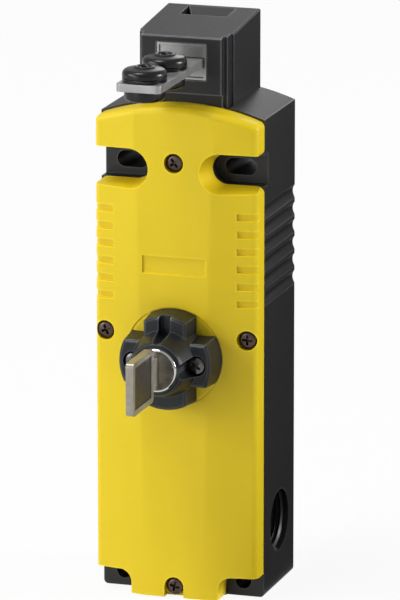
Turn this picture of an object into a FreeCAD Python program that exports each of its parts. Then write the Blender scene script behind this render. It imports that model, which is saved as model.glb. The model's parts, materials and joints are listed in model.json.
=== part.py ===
import FreeCAD, Part
import math
import os

# Safety position switch with separate actuator, solenoid lock and key-operated release.
# Millimetres. +Z is up, the front faces -Y and +X is to the right seen from the front.
# The origin lies on the back face, midway between the two lower fixing holes.

Vector = FreeCAD.Vector
RIGHT = Vector(1, 0, 0)
FRONT = Vector(0, -1, 0)
UP = Vector(0, 0, 1)

# Enclosure
WIDTH = 54.0
HOUSING_DEPTH = 34.3  # back face to the seam
BOTTOM_EDGE = 5.0  # from the lower fixing holes down to the bottom edge
SHOULDER = 151.4  # from the lower fixing holes up to the top corners
ARCH_RISE = 4.9
WALL = 3.0
BACK_WALL = 3.0
TOP_WALL = 5.2  # under the head seat
EDGE_RADIUS = 1.4
PARTITION_HEIGHT = 33.0
PARTITION_THICKNESS = 2.0
PARTITION_GAP = 8.0  # seam to the partition's front edge
BRIDGE_HEIGHT = 6.8  # bridge behind the top screw
BRIDGE_DEPTH = 8.0
BOTTOM_BOSS_DEPTH = 6.0

# Fixing holes
HOLE_DIAMETER = 5.3
HOLE_PITCH = WIDTH - 14.0
SLOT_LENGTH = 10.3
SLOT_PITCH = WIDTH * 2 / 3
FIXING_DROP = 16.4  # top corners down to the upper slots
COLUMN_WALL = 2.4
CORNER_FLOOR = 1.0  # depth of the corner floors below the seam
POCKET_DEPTH = 4.5  # depth of the upper pockets below the seam
POCKET_FLOOR = 2.0

# Cable entries
ENTRY_DIAMETER = 20.0
ENTRY_HEIGHT = 16.5
ENTRY_DEPTH = 17.0  # from the back face to the entry axis
ENTRY_LENGTH = 8.5
ENTRY_COLLAR = 2.4

# Side flutes and grip grooves
GROOVE_COUNT = 6
GROOVE_PITCH = 5.63
GROOVE_DROP = 13.65  # upper slots down to the highest one
GROOVE_HEIGHT = 2.3
GROOVE_DEPTH = 0.8
GROOVE_LENGTH = 6.6  # from the side edge inwards
FLUTE_RADIUS = 3.0
FLUTE_DEPTH = 1.0

# Cover
COVER_RISE = 9.5
COVER_WALL = 2.4
COVER_TOP_INSET = 0.8
COVER_BOTTOM_INSET = 0.5
FACET_BOTTOM = 9.8  # half-width of the middle facet at the bottom edge
FACET_TOP = 13.1  # and at the shoulder
FACET_SLOPE = 0.18
FACET_OVERRUN = 10.0
COVER_EDGE_RADIUS = 2.2
CUT_HEIGHT = 10.0  # side cut-outs over the upper slots
CUT_INNER = WIDTH * 5 / 27  # half-distance between their round ends
CUT_BEVEL = 1.2
CORNER_CUT_WIDTH = 12.5  # beside the bottom tab
CORNER_CUT_HEIGHT = 8.1
CORNER_CUT_RADIUS = 4.0
PANEL_HALF = 10.5
PANEL_HEIGHT = 5.7
PANEL_DEPTH = 0.6
RING_RADIUS = 16.2
RING_WIDTH = 0.7
RING_DEPTH = 0.5
SEAL_WIDTH = 1.0
SEAL_HEIGHT = 0.9
SEAL_INSET = 0.7

# Cover screws
SCREW_HEAD = 5.8
SCREW_HEAD_HEIGHT = 2.2
SCREW_SHANK = 3.0
SCREW_LENGTH = 10.0
SCREW_RECESS = 0.8
SCREW_POCKET_CLEARANCE = 0.3
SCREW_HOLE_CLEARANCE = 0.2
SCREW_CROWN = 0.35
INNER_HEAD_LESS = 0.6  # heads of the inner screws are this much smaller
SCREW_BOSS = 7.4
TOP_SCREW_RISE = 2.6  # above the upper slots
SIDE_SCREW_DROP = 6.6  # below the contact blocks
SIDE_SCREW_EDGE = 3.5  # from the side edge
BOTTOM_SCREW = -1.0

# Head
HEAD_WIDTH = 31.0
HEAD_REAR = 1.5  # from the back face
HEAD_DEPTH = 34.3
HEAD_SEAT_RISE = 2.8  # above the top corners
HEAD_HEIGHT = 26.1  # at the rear, above its seat
HEAD_FALL = 3.4  # rear edge to front edge of the roof
HEAD_WALL = 2.6
HEAD_ROOF_WALL = 1.8  # at the front edge
HEAD_STEPS = ((1.3, 2.6), (1.0, 3.5))  # width and depth of each step of the front corners
HEAD_FIT = 0.2  # round the head in its seat
HEAD_SKIRT = 4.3
HEAD_RELIEF = 1.0  # under the front corners, over the cover's top edge
HEAD_EDGE = 0.4
HEAD_OPENING_SIDE = 3.0  # beside the plunger
HEAD_OPENING_Y = 9.0
HEAD_SCREW_X = 11.2
HEAD_SCREW_Y = 2.2  # from the inner faces of the head's walls
HEAD_SCREW_BOSS = 5.6
HEAD_POST_TIP = 2.0
HEAD_POST_GAP = 0.85  # posts to the guide plate's flange
CHUTE_FRONT = 12.6  # top entry, from the back face
CHUTE_REAR = 3.3
CHUTE_THROAT = 3.2
CHUTE_FALL = 4.6
CHUTE_TAPER = 3.6

# Actuator
BLADE_WIDTH = 14.6
BLADE_THICKNESS = 2.5
BLADE_LENGTH = 75.0
BLADE_DROP = 5.1  # below the head's inner roof
BLADE_BACK = 4.5  # back face to the blade's inner end
BLADE_CORNER = 1.6
BLADE_RAIL = 2.7
BLADE_CROSSBAR = 3.2
BLADE_CLEARANCE = 0.3
PLATE_WIDTH = 16.4
PLATE_HEIGHT = HEAD_HEIGHT * 4 / 9
PLATE_DROP = 1.15  # centre below the blade's top
PLATE_SINK = 0.2  # behind the head's front face
PLATE_FLANGE = 1.2
PLATE_RIM = 0.9
PLATE_RIM_HEIGHT = 0.6
PLATE_CLEARANCE = 0.05

# Rubber bushes
BUSH_DIAMETER = 14.0
BUSH_NECK = 9.0
BUSH_HEIGHT = 4.8  # above the blade
BUSH_FOOT = 12.8
BUSH_FOOT_HEIGHT = 3.5  # below the blade
BUSH_ROUNDING = 2.4
BUSH_FOOT_ROUNDING = 1.2
BUSH_PITCH = BLADE_LENGTH * 4 / 15
BUSH_END = 7.0  # outer bush to the blade's outer end
SLEEVE_DIAMETER = 5.4
SLEEVE_BORE = 4.3
SLEEVE_SINK = 1.2

# Cam wheel
WHEEL_WIDTH = 8.2
WHEEL_DEPTH = 17.7  # back face to the axle
WHEEL_GAP = 0.3  # under the blade
WHEEL_POCKET_FRONT = 25.0  # degrees from upright
WHEEL_POCKET_REAR = 75.0
WHEEL_TURN = 65.0
NOTCH_WIDTH = 5.8
AXLE_GRIP = 1.6  # length held in each side wall
RUNNING_FIT = 0.05
CAM_WIDTH = 4.2
CAM_CLEARANCE = 0.35
CAM_LEAD = 6.0  # degrees before the first contact
CAM_OVERRUN = 8.0

# Position plunger
PLUNGER_DIAMETER = 2.8
PLUNGER_SIDE = WIDTH * 0.13
PLUNGER_TRAVEL = 2.5
FOOT_WIDTH = 5.0
FOOT_HEIGHT = 3.4
STEM_DIAMETER = 3.4
STEM_LENGTH = 8.0
STEM_CLEARANCE = 0.1

# Locking bolt and solenoid
BOLT_DIAMETER = 5.0
BOLT_TRAVEL = 3.0
BOLT_CLEARANCE = 0.4
CROSSHEAD_DROP = 14.0  # below the upper slots
CROSSHEAD_HEIGHT = 4.0
COLLAR_DIAMETER = 8.4
COLLAR_RISE = 13.4  # above the crosshead's base
COLLAR_HEIGHT = 1.0
SPRING_WIRE = 0.9
SPRING_TURNS = 4
GUIDE_DROP = 6.0  # below the housing's inner top
GUIDE_HEIGHT = 3.0
GUIDE_WALL = 2.5  # beside the plunger's bore
GUIDE_RIB = 6.0
GUIDE_RIB_WIDTH = 1.6
ARMATURE_DIAMETER = 9.0
ARMATURE_LENGTH = 23.0
ARMATURE_FIT = 0.1
POLE_GAP = 0.3
YOKE_SIDE = 2.5  # beside the bobbin
YOKE_HEIGHT = 33.0
YOKE_DROP = 4.0  # below the crosshead
YOKE_PLATE = 3.0
YOKE_DEPTH = 25.0
BOBBIN_WALL = 1.0
BOBBIN_FLANGE = 1.4
BOBBIN_GAP = 0.2  # to the yoke's rear plate
WINDING_INSET = 0.5  # from the flanges' edge

# Carrier plate behind the mechanism
CARRIER_THICKNESS = 2.0
NECK_GAP = 0.85  # to the slots' columns
CARRIER_GAP = 0.6  # to the side walls
CARRIER_SCREW_DROP = 5.0  # below the upper slots
CARRIER_SCREW_EDGE = 3.6  # from the neck's edge

# Contact blocks
BLOCK_GAP = 0.8  # to the yoke
BLOCK_WALL_GAP = 0.4  # to the side walls
BLOCK_DROP = 3.0  # below the crosshead
BLOCK_HEIGHT = 30.0
BLOCK_STEP = 7.0
BLOCK_STEP_DEPTH = 6.0
TERMINAL_HEAD = 3.0
TERMINAL_HEIGHT = 1.6
TERMINAL_SHANK = 2.2
TERMINAL_LENGTH = 3.4
TERMINAL_PLAY = 0.2
TERMINAL_TIP = 0.5
SUPPLY_RISE = 7.0  # above the partition
SUPPLY_HEIGHT = 14.0
SUPPLY_INSET = 12.0  # from the side faces
SUPPLY_DEPTH = 14.0
SUPPLY_TERMINALS = 4
SUPPLY_BARRIER = 1.2
SUPPLY_BARRIER_HEIGHT = 4.0
EARTH_INSET = 14.0  # from the left side face
EARTH_DROP = 6.5  # below the partition
EARTH_WASHER = 8.0
EARTH_WASHER_THICKNESS = 1.4
EARTH_SCREW_LENGTH = 3.4
BLIND_WALL = 0.8  # left behind blind screw holes in the back wall

# Key lock
LOCK_HEIGHT = 75.0
LOCK_RADIUS = 15.8
LOCK_ARM = 7.65
LOCK_ARM_RISE = 9.6
LOCK_DRAFT = 0.7
LOCK_CONE_BASE = 11.0
LOCK_RING = 8.3
LOCK_LIP = 8.9
LOCK_RISE = 18.2
LOCK_SPIGOT = 8.6
LOCK_SPIGOT_LENGTH = 3.4
LOCK_SINK = 3.0  # arms drawn on below the cover's face
LOCK_EDGE = 0.7
POINTER_WIDTH = 3.8
POINTER_DEPTH = 2.6
POINTER_LENGTH = 5.6
LOCK_SCREW_SIDE = 10.4
LOCK_SCREW_HEAD = 6.0
LOCK_SCREW_POCKET = 2.4
LOCK_SCREW_LENGTH = 11.0
LOCK_SCREW_BOSS_DEPTH = 7.4  # below the cover's face
BARREL_RADIUS = 7.0
BARREL_PROUD = 0.9
BARREL_LENGTH = 23.0
PLUG_RADIUS = 5.2
PLUG_PROUD = 0.2
PLUG_COLLAR = 6.2
PLUG_COLLAR_DEPTH = 1.0
TAIL_RADIUS = 2.6
CLIP_THICKNESS = 0.8
CLIP_RADIUS = 4.4
RELEASE_CAM_RADIUS = 6.0
RELEASE_CAM_THICKNESS = 2.4
PIN_RADIUS = 1.2
PIN_ORBIT = 3.5
PIN_PLAY = 0.9
PIN_TIP = 0.2
CAM_DISC_GAP = 1.7  # disc to slide

# Release slide
SLIDE_HALF = 4.2
SLIDE_THICKNESS = 1.5
SLIDE_DROP = 9.0  # below the lock's axis
SLIDE_EAR = 1.5
SLIDE_EAR_HEIGHT = 2.5
SLIDE_GAP = 0.3  # in front of the yoke
FORK_RISE = 10.8  # above the crosshead's base
FORK_HEIGHT = 1.6
FORK_CLEARANCE = 0.4

# Key
KEY_THICKNESS = 2.2
KEY_CLEARANCE = 0.1
KEY_BLADE_HEIGHT = 7.0
KEY_BLADE_LENGTH = 20.0
KEY_NECK = 4.9
KEY_NECK_HEIGHT = 9.0
KEY_BOW_LENGTH = 20.2
KEY_BOW_HEIGHT = 17.2
KEY_BOW_THICKNESS = 2.6
KEY_BOW_CORNER = 1.6
KEY_RIM = 1.8
KEY_RECESS = 0.5
KEY_CUTS = 5
KEY_CUT_DEPTH = 1.4
KEY_CUT_SHARES = (0.6, 1.0, 0.8)
KEY_STOP = 0.2  # neck to the plug's face
KEY_TIP = 1.5
KEY_CUTS_START = 4.0
KEY_CUTS_END = 2.0

# Values worked out from the ones above
HALF = WIDTH / 2
GROOVE_INNER = HALF - GROOVE_LENGTH
TAB_HALF = HALF - CORNER_CUT_WIDTH
CORNER_CUT_TOP = CORNER_CUT_HEIGHT - BOTTOM_EDGE
SIDE_SCREW_HALF = HALF - SIDE_SCREW_EDGE
SEAM = -HOUSING_DEPTH
COVER_FRONT = SEAM - COVER_RISE
CROWN = SHOULDER + ARCH_RISE
FIXING_RISE = SHOULDER - FIXING_DROP  # lower holes to upper slots
GROOVE_FIRST = FIXING_RISE - GROOVE_DROP - GROOVE_PITCH * (GROOVE_COUNT - 1)
TOP_SCREW = FIXING_RISE + TOP_SCREW_RISE
LOCK_TOP = LOCK_HEIGHT + LOCK_RADIUS
PANEL_CENTRE = LOCK_TOP + (FIXING_RISE - CUT_HEIGHT / 2 - LOCK_TOP) * 0.35
HEAD_SEAT = SHOULDER + HEAD_SEAT_RISE
HEAD_REAR_TOP = HEAD_SEAT + HEAD_HEIGHT
HEAD_FRONT_TOP = HEAD_REAR_TOP - HEAD_FALL
HEAD_ROOF = HEAD_FRONT_TOP - HEAD_ROOF_WALL
INNER_TOP = HEAD_SEAT - TOP_WALL
ENTRY_Y = -ENTRY_DEPTH
HOLE_SIDE = HOLE_PITCH / 2
SLOT_SIDE = SLOT_PITCH / 2
HOLE_RADIUS = HOLE_DIAMETER / 2
SCREW_HOLE_RADIUS = SCREW_SHANK / 2 + SCREW_HOLE_CLEARANCE
ENTRY_RADIUS = ENTRY_DIAMETER / 2
HEAD_HALF = HEAD_WIDTH / 2
HEAD_BACK = -HEAD_REAR
HEAD_FRONT = HEAD_BACK - HEAD_DEPTH
HEAD_FACE_HALF = HEAD_HALF - sum(width for width, _ in HEAD_STEPS)
HEAD_OPENING_X = PLUNGER_SIDE + HEAD_OPENING_SIDE
BLADE_TOP = HEAD_ROOF - BLADE_DROP
BLADE_BOTTOM = BLADE_TOP - BLADE_THICKNESS
BLADE_INNER = -BLADE_BACK
BLADE_OUTER = BLADE_INNER - BLADE_LENGTH
PLATE_CENTRE = BLADE_TOP - PLATE_DROP
HEAD_POST_TOP = PLATE_CENTRE - PLATE_HEIGHT / 2 - PLATE_FLANGE - HEAD_POST_GAP
HEAD_SCREW_LENGTH = HEAD_POST_TOP - HEAD_POST_TIP - INNER_TOP
WHEEL_SPACE = BLADE_BOTTOM - WHEEL_GAP - HEAD_SEAT
WHEEL_RADIUS = WHEEL_SPACE * 8 / 13
POCKET_RADIUS = WHEEL_SPACE - WHEEL_RADIUS
WHEEL_Y = -WHEEL_DEPTH
WHEEL_BOTTOM = HEAD_SEAT
WHEEL_Z = WHEEL_BOTTOM + WHEEL_RADIUS
NOTCH_DEPTH = WHEEL_RADIUS * 3 / 8
AXLE_DIAMETER = WHEEL_RADIUS / 2
HUB_RADIUS = WHEEL_RADIUS * 0.55
CAM_BASE = HUB_RADIUS + 0.1
BLADE_WINDOW_FRONT = WHEEL_Y - WHEEL_RADIUS * 15 / 16
BOLT_TIP = WHEEL_BOTTOM - BOLT_CLEARANCE - BOLT_TRAVEL
CARRIER_FRONT = -BACK_WALL - CARRIER_THICKNESS
YOKE_FRONT = CARRIER_FRONT - YOKE_DEPTH
SLIDE_BACK = YOKE_FRONT - SLIDE_GAP
SLIDE_FRONT = SLIDE_BACK - SLIDE_THICKNESS
CROSSHEAD_BASE = FIXING_RISE - CROSSHEAD_DROP
COLLAR_BASE = CROSSHEAD_BASE + COLLAR_RISE
FORK_BASE = CROSSHEAD_BASE + FORK_RISE
GUIDE_BASE = INNER_TOP - GUIDE_DROP
YOKE_TOP = CROSSHEAD_BASE - YOKE_DROP
YOKE_BASE = YOKE_TOP - YOKE_HEIGHT
BOBBIN_RADIUS = WHEEL_DEPTH + CARRIER_FRONT - YOKE_PLATE - BOBBIN_GAP
WINDING_RADIUS = BOBBIN_RADIUS - WINDING_INSET
YOKE_HALF = BOBBIN_RADIUS + YOKE_SIDE
CARRIER_HALF = HALF - WALL - CARRIER_GAP
CARRIER_NECK = SLOT_SIDE - SLOT_LENGTH / 2 - COLUMN_WALL - NECK_GAP
CARRIER_SCREW_SIDE = CARRIER_NECK - CARRIER_SCREW_EDGE
GUIDE_HALF = PLUNGER_SIDE + GUIDE_WALL
CARRIER_SCREW = FIXING_RISE - CARRIER_SCREW_DROP
BLOCK_TOP = CROSSHEAD_BASE - BLOCK_DROP
BLOCK_BASE = BLOCK_TOP - BLOCK_HEIGHT
BLOCK_INNER = YOKE_HALF + BLOCK_GAP
BLOCK_WIDTH = HALF - WALL - BLOCK_WALL_GAP - BLOCK_INNER
STEM_SIDE = BLOCK_INNER + BLOCK_WIDTH / 2
SIDE_SCREW = BLOCK_BASE - SIDE_SCREW_DROP
TERMINAL_PITCH = BLOCK_WIDTH / 2
TERMINAL_HOLE = TERMINAL_SHANK + TERMINAL_PLAY
TERMINAL_HOLE_DEPTH = TERMINAL_LENGTH + TERMINAL_TIP
SUPPLY_BASE = PARTITION_HEIGHT + PARTITION_THICKNESS + SUPPLY_RISE
SUPPLY_HALF = HALF - SUPPLY_INSET
EARTH_SIDE = HALF - EARTH_INSET
EARTH_HEIGHT = PARTITION_HEIGHT - EARTH_DROP
SLIDE_BASE = LOCK_HEIGHT - SLIDE_DROP
LOCK_FRONT = COVER_FRONT - LOCK_RISE
LOCK_ARM_FRONT = COVER_FRONT - LOCK_ARM_RISE
LOCK_SCREW_SEAT = LOCK_ARM_FRONT + LOCK_SCREW_POCKET
BARREL_FRONT = LOCK_FRONT - BARREL_PROUD
BARREL_BACK = BARREL_FRONT + BARREL_LENGTH
PLUG_FRONT = BARREL_FRONT - PLUG_PROUD
PIN_END = SLIDE_BACK + PIN_TIP
CAM_FRONT = SLIDE_FRONT - CAM_DISC_GAP - RELEASE_CAM_THICKNESS


def box(x0, x1, y0, y1, z0, z1):
    low = Vector(min(x0, x1), min(y0, y1), min(z0, z1))
    return Part.makeBox(abs(x1 - x0), abs(y1 - y0), abs(z1 - z0), low)


def rod(radius, start, end):
    """Cylinder from one point to another."""
    start = Vector(*start)
    along = Vector(*end) - start
    return Part.makeCylinder(radius, along.Length, start, along)


def tube(outer, inner, start, end):
    return rod(outer, start, end).cut(rod(inner, start, end))


def fuse(first, *others):
    return first.multiFuse(list(others)).removeSplitter()


def cut(first, *others):
    return first.cut(list(others))


def polygon(points):
    return Part.Face(Part.makePolygon([Vector(*p) for p in points + points[:1]]))


def side_prism(points, x0, x1):
    """Outline of (y, z) points carried along X."""
    return polygon([(x0, y, z) for y, z in points]).extrude(Vector(x1 - x0, 0, 0))


def top_prism(points, z0, z1):
    """Outline of (x, y) points carried along Z."""
    return polygon([(x, y, z0) for x, y in points]).extrude(Vector(0, 0, z1 - z0))


def turned(points, origin, axis_direction):
    """Solid of revolution from (radius, height) points about an axis through the origin point."""
    face = polygon([(r, 0, h) for r, h in points])
    solid = face.revolve(Vector(0, 0, 0), UP, 360)
    turn = FreeCAD.Rotation(UP, axis_direction)
    solid.Placement = FreeCAD.Placement(Vector(*origin), turn)
    return solid


def stadium_face(centre_x, centre_z, length, height, y):
    """Slot outline in the front plane, long along X."""
    r = height / 2
    reach = length / 2 - r
    left, right = centre_x - reach, centre_x + reach
    top, bottom = centre_z + r, centre_z - r
    edges = [
        Part.LineSegment(Vector(left, y, bottom), Vector(right, y, bottom)),
        Part.Arc(Vector(right, y, bottom), Vector(right + r, y, centre_z), Vector(right, y, top)),
        Part.LineSegment(Vector(right, y, top), Vector(left, y, top)),
        Part.Arc(Vector(left, y, top), Vector(left - r, y, centre_z), Vector(left, y, bottom)),
    ]
    return Part.Face(Part.Wire([e.toShape() for e in edges]))


def stadium(centre_x, centre_z, length, height, y0, y1):
    return stadium_face(centre_x, centre_z, length, height, y0).extrude(Vector(0, y1 - y0, 0))


def mirrored(shape):
    """The same shape on the other side of the middle plane."""
    return shape.mirror(Vector(0, 0, 0), RIGHT)


def arched_face(half, bottom, shoulder, rise, y):
    """Upright outline with an arched top edge, in the front plane."""
    outline = [(-half, shoulder), (-half, bottom), (half, bottom), (half, shoulder)]
    corners = [Vector(x, y, z) for x, z in outline]
    edges = [Part.LineSegment(a, b).toShape() for a, b in zip(corners, corners[1:])]
    edges.append(Part.Arc(corners[3], Vector(0, y, shoulder + rise), corners[0]).toShape())
    return Part.Face(Part.Wire(edges))


def edges_where(shape, test):
    """Edges whose middle point passes the test."""
    return [e for e in shape.Edges if test(e.valueAt((e.FirstParameter + e.LastParameter) / 2), e)]


def corner_cut_face(side, grow, y):
    """Outline of one lower cut-out, with a round inner corner and grown past the housing's edges."""
    inner, outer = side * TAB_HALF, side * (HALF + grow)
    low, top = -BOTTOM_EDGE - grow, CORNER_CUT_TOP
    r = CORNER_CUT_RADIUS
    bend = r * (1 - math.sqrt(0.5))
    middle = Vector(inner + side * bend, y, top - bend)
    turn = Part.Arc(Vector(inner + side * r, y, top), middle, Vector(inner, y, top - r))
    outline = [(inner, top - r), (inner, low), (outer, low), (outer, top), (inner + side * r, top)]
    corners = [Vector(x, y, z) for x, z in outline]
    edges = [Part.LineSegment(a, b).toShape() for a, b in zip(corners, corners[1:])]
    return Part.Face(Part.Wire(edges + [turn.toShape()]))


def groove_heights():
    return [GROOVE_FIRST + GROOVE_PITCH * i for i in range(GROOVE_COUNT)]


def cover_screw_places():
    """(x, z, y of the cover face) of each cover screw."""
    middle = (SIDE_SCREW + BOTTOM_EDGE) / (SHOULDER + BOTTOM_EDGE)
    facet_edge = FACET_BOTTOM + (FACET_TOP - FACET_BOTTOM) * middle
    side_face = COVER_FRONT + FACET_SLOPE * (SIDE_SCREW_HALF - facet_edge)
    return [
        (0.0, TOP_SCREW, COVER_FRONT),
        (SIDE_SCREW_HALF, SIDE_SCREW, side_face),
        (-SIDE_SCREW_HALF, SIDE_SCREW, side_face),
        (0.0, BOTTOM_SCREW, COVER_FRONT),
    ]


def head_screw_places():
    rear = HEAD_BACK - HEAD_WALL - HEAD_SCREW_Y
    front = HEAD_FRONT + HEAD_WALL + HEAD_SCREW_Y
    return [(x, y) for x in (-HEAD_SCREW_X, HEAD_SCREW_X) for y in (front, rear)]


def fixing_columns():
    """Solid columns that carry the fixing screws through the housing."""
    solids = []
    radius = HOLE_RADIUS + COLUMN_WALL
    pocket_half = CUT_HEIGHT / 2 + COLUMN_WALL
    inner = CUT_INNER - COLUMN_WALL
    pocket_base = SEAM + POCKET_DEPTH + POCKET_FLOOR
    for side in (-1, 1):
        x = side * HOLE_SIDE
        solids.append(rod(radius, (x, 0, 0), (x, SEAM, 0)))
        corner_inner = side * (TAB_HALF - COLUMN_WALL)
        corner_top = CORNER_CUT_TOP + COLUMN_WALL
        corner_back = SEAM + CORNER_FLOOR + POCKET_FLOOR
        solids.append(box(corner_inner, side * HALF, SEAM, corner_back, -BOTTOM_EDGE, corner_top))
        length = SLOT_LENGTH + 2 * COLUMN_WALL
        height = HOLE_DIAMETER + 2 * COLUMN_WALL
        solids.append(stadium(side * SLOT_SIDE, FIXING_RISE, length, height, 0, pocket_base))
        reach = HALF - inner + pocket_half
        centre = side * (inner + reach / 2)
        block = stadium(centre, FIXING_RISE, reach, 2 * pocket_half, SEAM, pocket_base)
        solids.append(block.common(box(0, side * HALF, SEAM, pocket_base, 0, SHOULDER)))
    return solids


def fixing_cuts():
    """Holes, slots and sunk floors at the fixing points."""
    solids = []
    for side in (-1, 1):
        x = side * HOLE_SIDE
        solids.append(rod(HOLE_RADIUS, (x, 1, 0), (x, SEAM - 1, 0)))
        solids.append(corner_cut_face(side, 1, SEAM - 1).extrude(Vector(0, 1 + CORNER_FLOOR, 0)))
        solids.append(stadium(side * SLOT_SIDE, FIXING_RISE, SLOT_LENGTH, HOLE_DIAMETER, 1, SEAM - 1))
        reach = HALF - CUT_INNER + CUT_HEIGHT
        centre = side * (CUT_INNER + reach / 2)
        solids.append(stadium(centre, FIXING_RISE, reach, CUT_HEIGHT, SEAM - 1, SEAM + POCKET_DEPTH))
    return solids


def side_flutes():
    """Round scoops that run along both side walls from the seam to the back."""
    centre = HALF + FLUTE_RADIUS - FLUTE_DEPTH
    solids = []
    for side in (-1, 1):
        x = side * centre
        solids += [rod(FLUTE_RADIUS, (x, 1, z), (x, SEAM - 1, z)) for z in groove_heights()]
    return solids


def cable_entries():
    """(open end, inner end) of the three entry bores."""
    inner = HALF - ENTRY_LENGTH
    return [
        ((HALF, ENTRY_Y, ENTRY_HEIGHT), (inner, ENTRY_Y, ENTRY_HEIGHT)),
        ((-HALF, ENTRY_Y, ENTRY_HEIGHT), (-inner, ENTRY_Y, ENTRY_HEIGHT)),
        ((0, ENTRY_Y, -BOTTOM_EDGE), (0, ENTRY_Y, -BOTTOM_EDGE + ENTRY_LENGTH)),
    ]


def housing():
    outer = arched_face(HALF, -BOTTOM_EDGE, SHOULDER, ARCH_RISE, 0).extrude(FRONT * HOUSING_DEPTH)
    outer = outer.makeFillet(EDGE_RADIUS, edges_where(outer, is_back_or_lower_edge))
    inside = box(WALL - HALF, HALF - WALL, -BACK_WALL, SEAM - 1, WALL - BOTTOM_EDGE, INNER_TOP)
    shell = outer.cut(inside)
    collar = ENTRY_RADIUS + ENTRY_COLLAR
    inner_parts = fixing_columns()
    inner_parts += [rod(collar, a, b) for a, b in cable_entries()]
    for x, z, _ in cover_screw_places()[1:3]:
        inner_parts.append(rod(SCREW_BOSS / 2, (x, 0, z), (x, SEAM, z)))
    bridge_half = BRIDGE_HEIGHT / 2
    bridge_inner = CUT_INNER + 1
    bridge_z = (TOP_SCREW - bridge_half, TOP_SCREW + bridge_half)
    inner_parts.append(box(-bridge_inner, bridge_inner, SEAM, SEAM + BRIDGE_DEPTH, *bridge_z))
    boss_end = SEAM + BOTTOM_BOSS_DEPTH
    inner_parts.append(rod(SCREW_BOSS / 2, (0, SEAM, BOTTOM_SCREW), (0, boss_end, BOTTOM_SCREW)))
    partition_z = (PARTITION_HEIGHT, PARTITION_HEIGHT + PARTITION_THICKNESS)
    inner_parts.append(box(WALL - HALF, HALF - WALL, -BACK_WALL, SEAM + PARTITION_GAP, *partition_z))
    ribs = [part.common(outer) for part in inner_parts]
    body = fuse(shell, *ribs)
    cuts = fixing_cuts() + side_flutes()
    for a, b in cable_entries():
        a, b = Vector(*a), Vector(*b)
        beyond = (a - b).normalize()
        cuts.append(rod(ENTRY_RADIUS, tuple(a + beyond), tuple(b - beyond)))
    for x, z, face in cover_screw_places():
        end = face + SCREW_RECESS + SCREW_HEAD_HEIGHT + SCREW_LENGTH
        cuts.append(rod(SCREW_SHANK / 2, (x, SEAM - 1, z), (x, end, z)))
    seat_half = HEAD_HALF + HEAD_FIT
    seat = box(-seat_half, seat_half, HEAD_BACK + HEAD_FIT, SEAM - 1, HEAD_SEAT, CROWN + 1)
    opening_back = -HEAD_OPENING_Y
    opening_front = 2 * WHEEL_Y + HEAD_OPENING_Y
    cuts.append(seat)
    opening_z = (INNER_TOP - 1, HEAD_SEAT + 1)
    cuts.append(box(-HEAD_OPENING_X, HEAD_OPENING_X, opening_back, opening_front, *opening_z))
    for x, y in head_screw_places():
        cuts.append(rod(SCREW_HOLE_RADIUS, (x, y, INNER_TOP - 1), (x, y, HEAD_SEAT + 1)))
    blind = [(side * CARRIER_SCREW_SIDE, CARRIER_SCREW) for side in (-1, 1)] + [(-EARTH_SIDE, EARTH_HEIGHT)]
    for x, z in blind:
        cuts.append(rod(SCREW_SHANK / 2, (x, -BACK_WALL - 1, z), (x, -BLIND_WALL, z)))
    return cut(body, *cuts)


def is_back_or_lower_edge(p, edge):
    """Edges round the back face and the two lower side corners of the housing."""
    return abs(p.y) < 0.01 or (abs(p.x) > HALF - 0.01 and abs(p.z + BOTTOM_EDGE) < 0.01)


def cover_outline(inset=0.0, y=None):
    """Front outline of the cover with its side cut-outs and bottom tab, drawn in by the inset."""
    y = SEAM if y is None else y
    bottom = -BOTTOM_EDGE + COVER_BOTTOM_INSET
    face = arched_face(HALF, bottom, SHOULDER - COVER_TOP_INSET, ARCH_RISE, y)
    for side in (-1, 1):
        reach = HALF - CUT_INNER + CUT_HEIGHT
        centre = side * (CUT_INNER + reach / 2)
        face = face.cut(stadium_face(centre, FIXING_RISE, reach, CUT_HEIGHT, y))
        face = face.cut(corner_cut_face(side, HALF, y))
    face = face.Faces[0]
    return face.makeOffset2D(-inset) if inset else face


def facet_wedge(lift=0.0):
    """Solid above one sloping side facet, lifted towards the back for the inner face."""
    rise = SHOULDER + BOTTOM_EDGE
    lean = (FACET_TOP - FACET_BOTTOM) / rise
    low, height = -BOTTOM_EDGE - FACET_OVERRUN, rise + 3 * FACET_OVERRUN
    start = FACET_BOTTOM - FACET_OVERRUN * lean
    reach = HALF + FACET_OVERRUN
    y = COVER_FRONT + lift
    section = polygon([
        (start, y, low), (start + reach, y + FACET_SLOPE * reach, low),
        (start + reach, y - FACET_OVERRUN, low), (start, y - FACET_OVERRUN, low),
    ])
    return section.extrude(Vector(lean * height, 0, height))


def cover_form():
    """Closed outer form of the cover: arched outline, three long facets, rounded rim."""
    solid = cover_outline().extrude(FRONT * COVER_RISE)
    wedge = facet_wedge()
    solid = cut(solid, wedge, mirrored(wedge))
    return solid.makeFillet(COVER_EDGE_RADIUS, edges_where(solid, is_front_rim))


def is_front_rim(p, edge):
    """Outer top and side edges of the cover's front, not those of the cut-outs."""
    if p.y > SEAM - COVER_EDGE_RADIUS or edge.Length < 3 * COVER_EDGE_RADIUS:
        return False
    return abs(abs(p.x) - HALF) < 0.01 or p.z > SHOULDER - COVER_TOP_INSET - 0.5


def cover_bevels():
    """Bevelled funnels round the side cut-outs."""
    solids = []
    for side in (-1, 1):
        sections = []
        for y, grow in ((COVER_FRONT - 1, CUT_BEVEL * 1.4), (SEAM + 0.01, 0.0)):
            reach = HALF - CUT_INNER + CUT_HEIGHT + 2 * grow
            centre = side * (CUT_INNER - grow + reach / 2)
            sections.append(stadium_face(centre, FIXING_RISE, reach, CUT_HEIGHT + 2 * grow, y).OuterWire)
        solids.append(Part.makeLoft(sections, True, True))
    return solids


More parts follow.
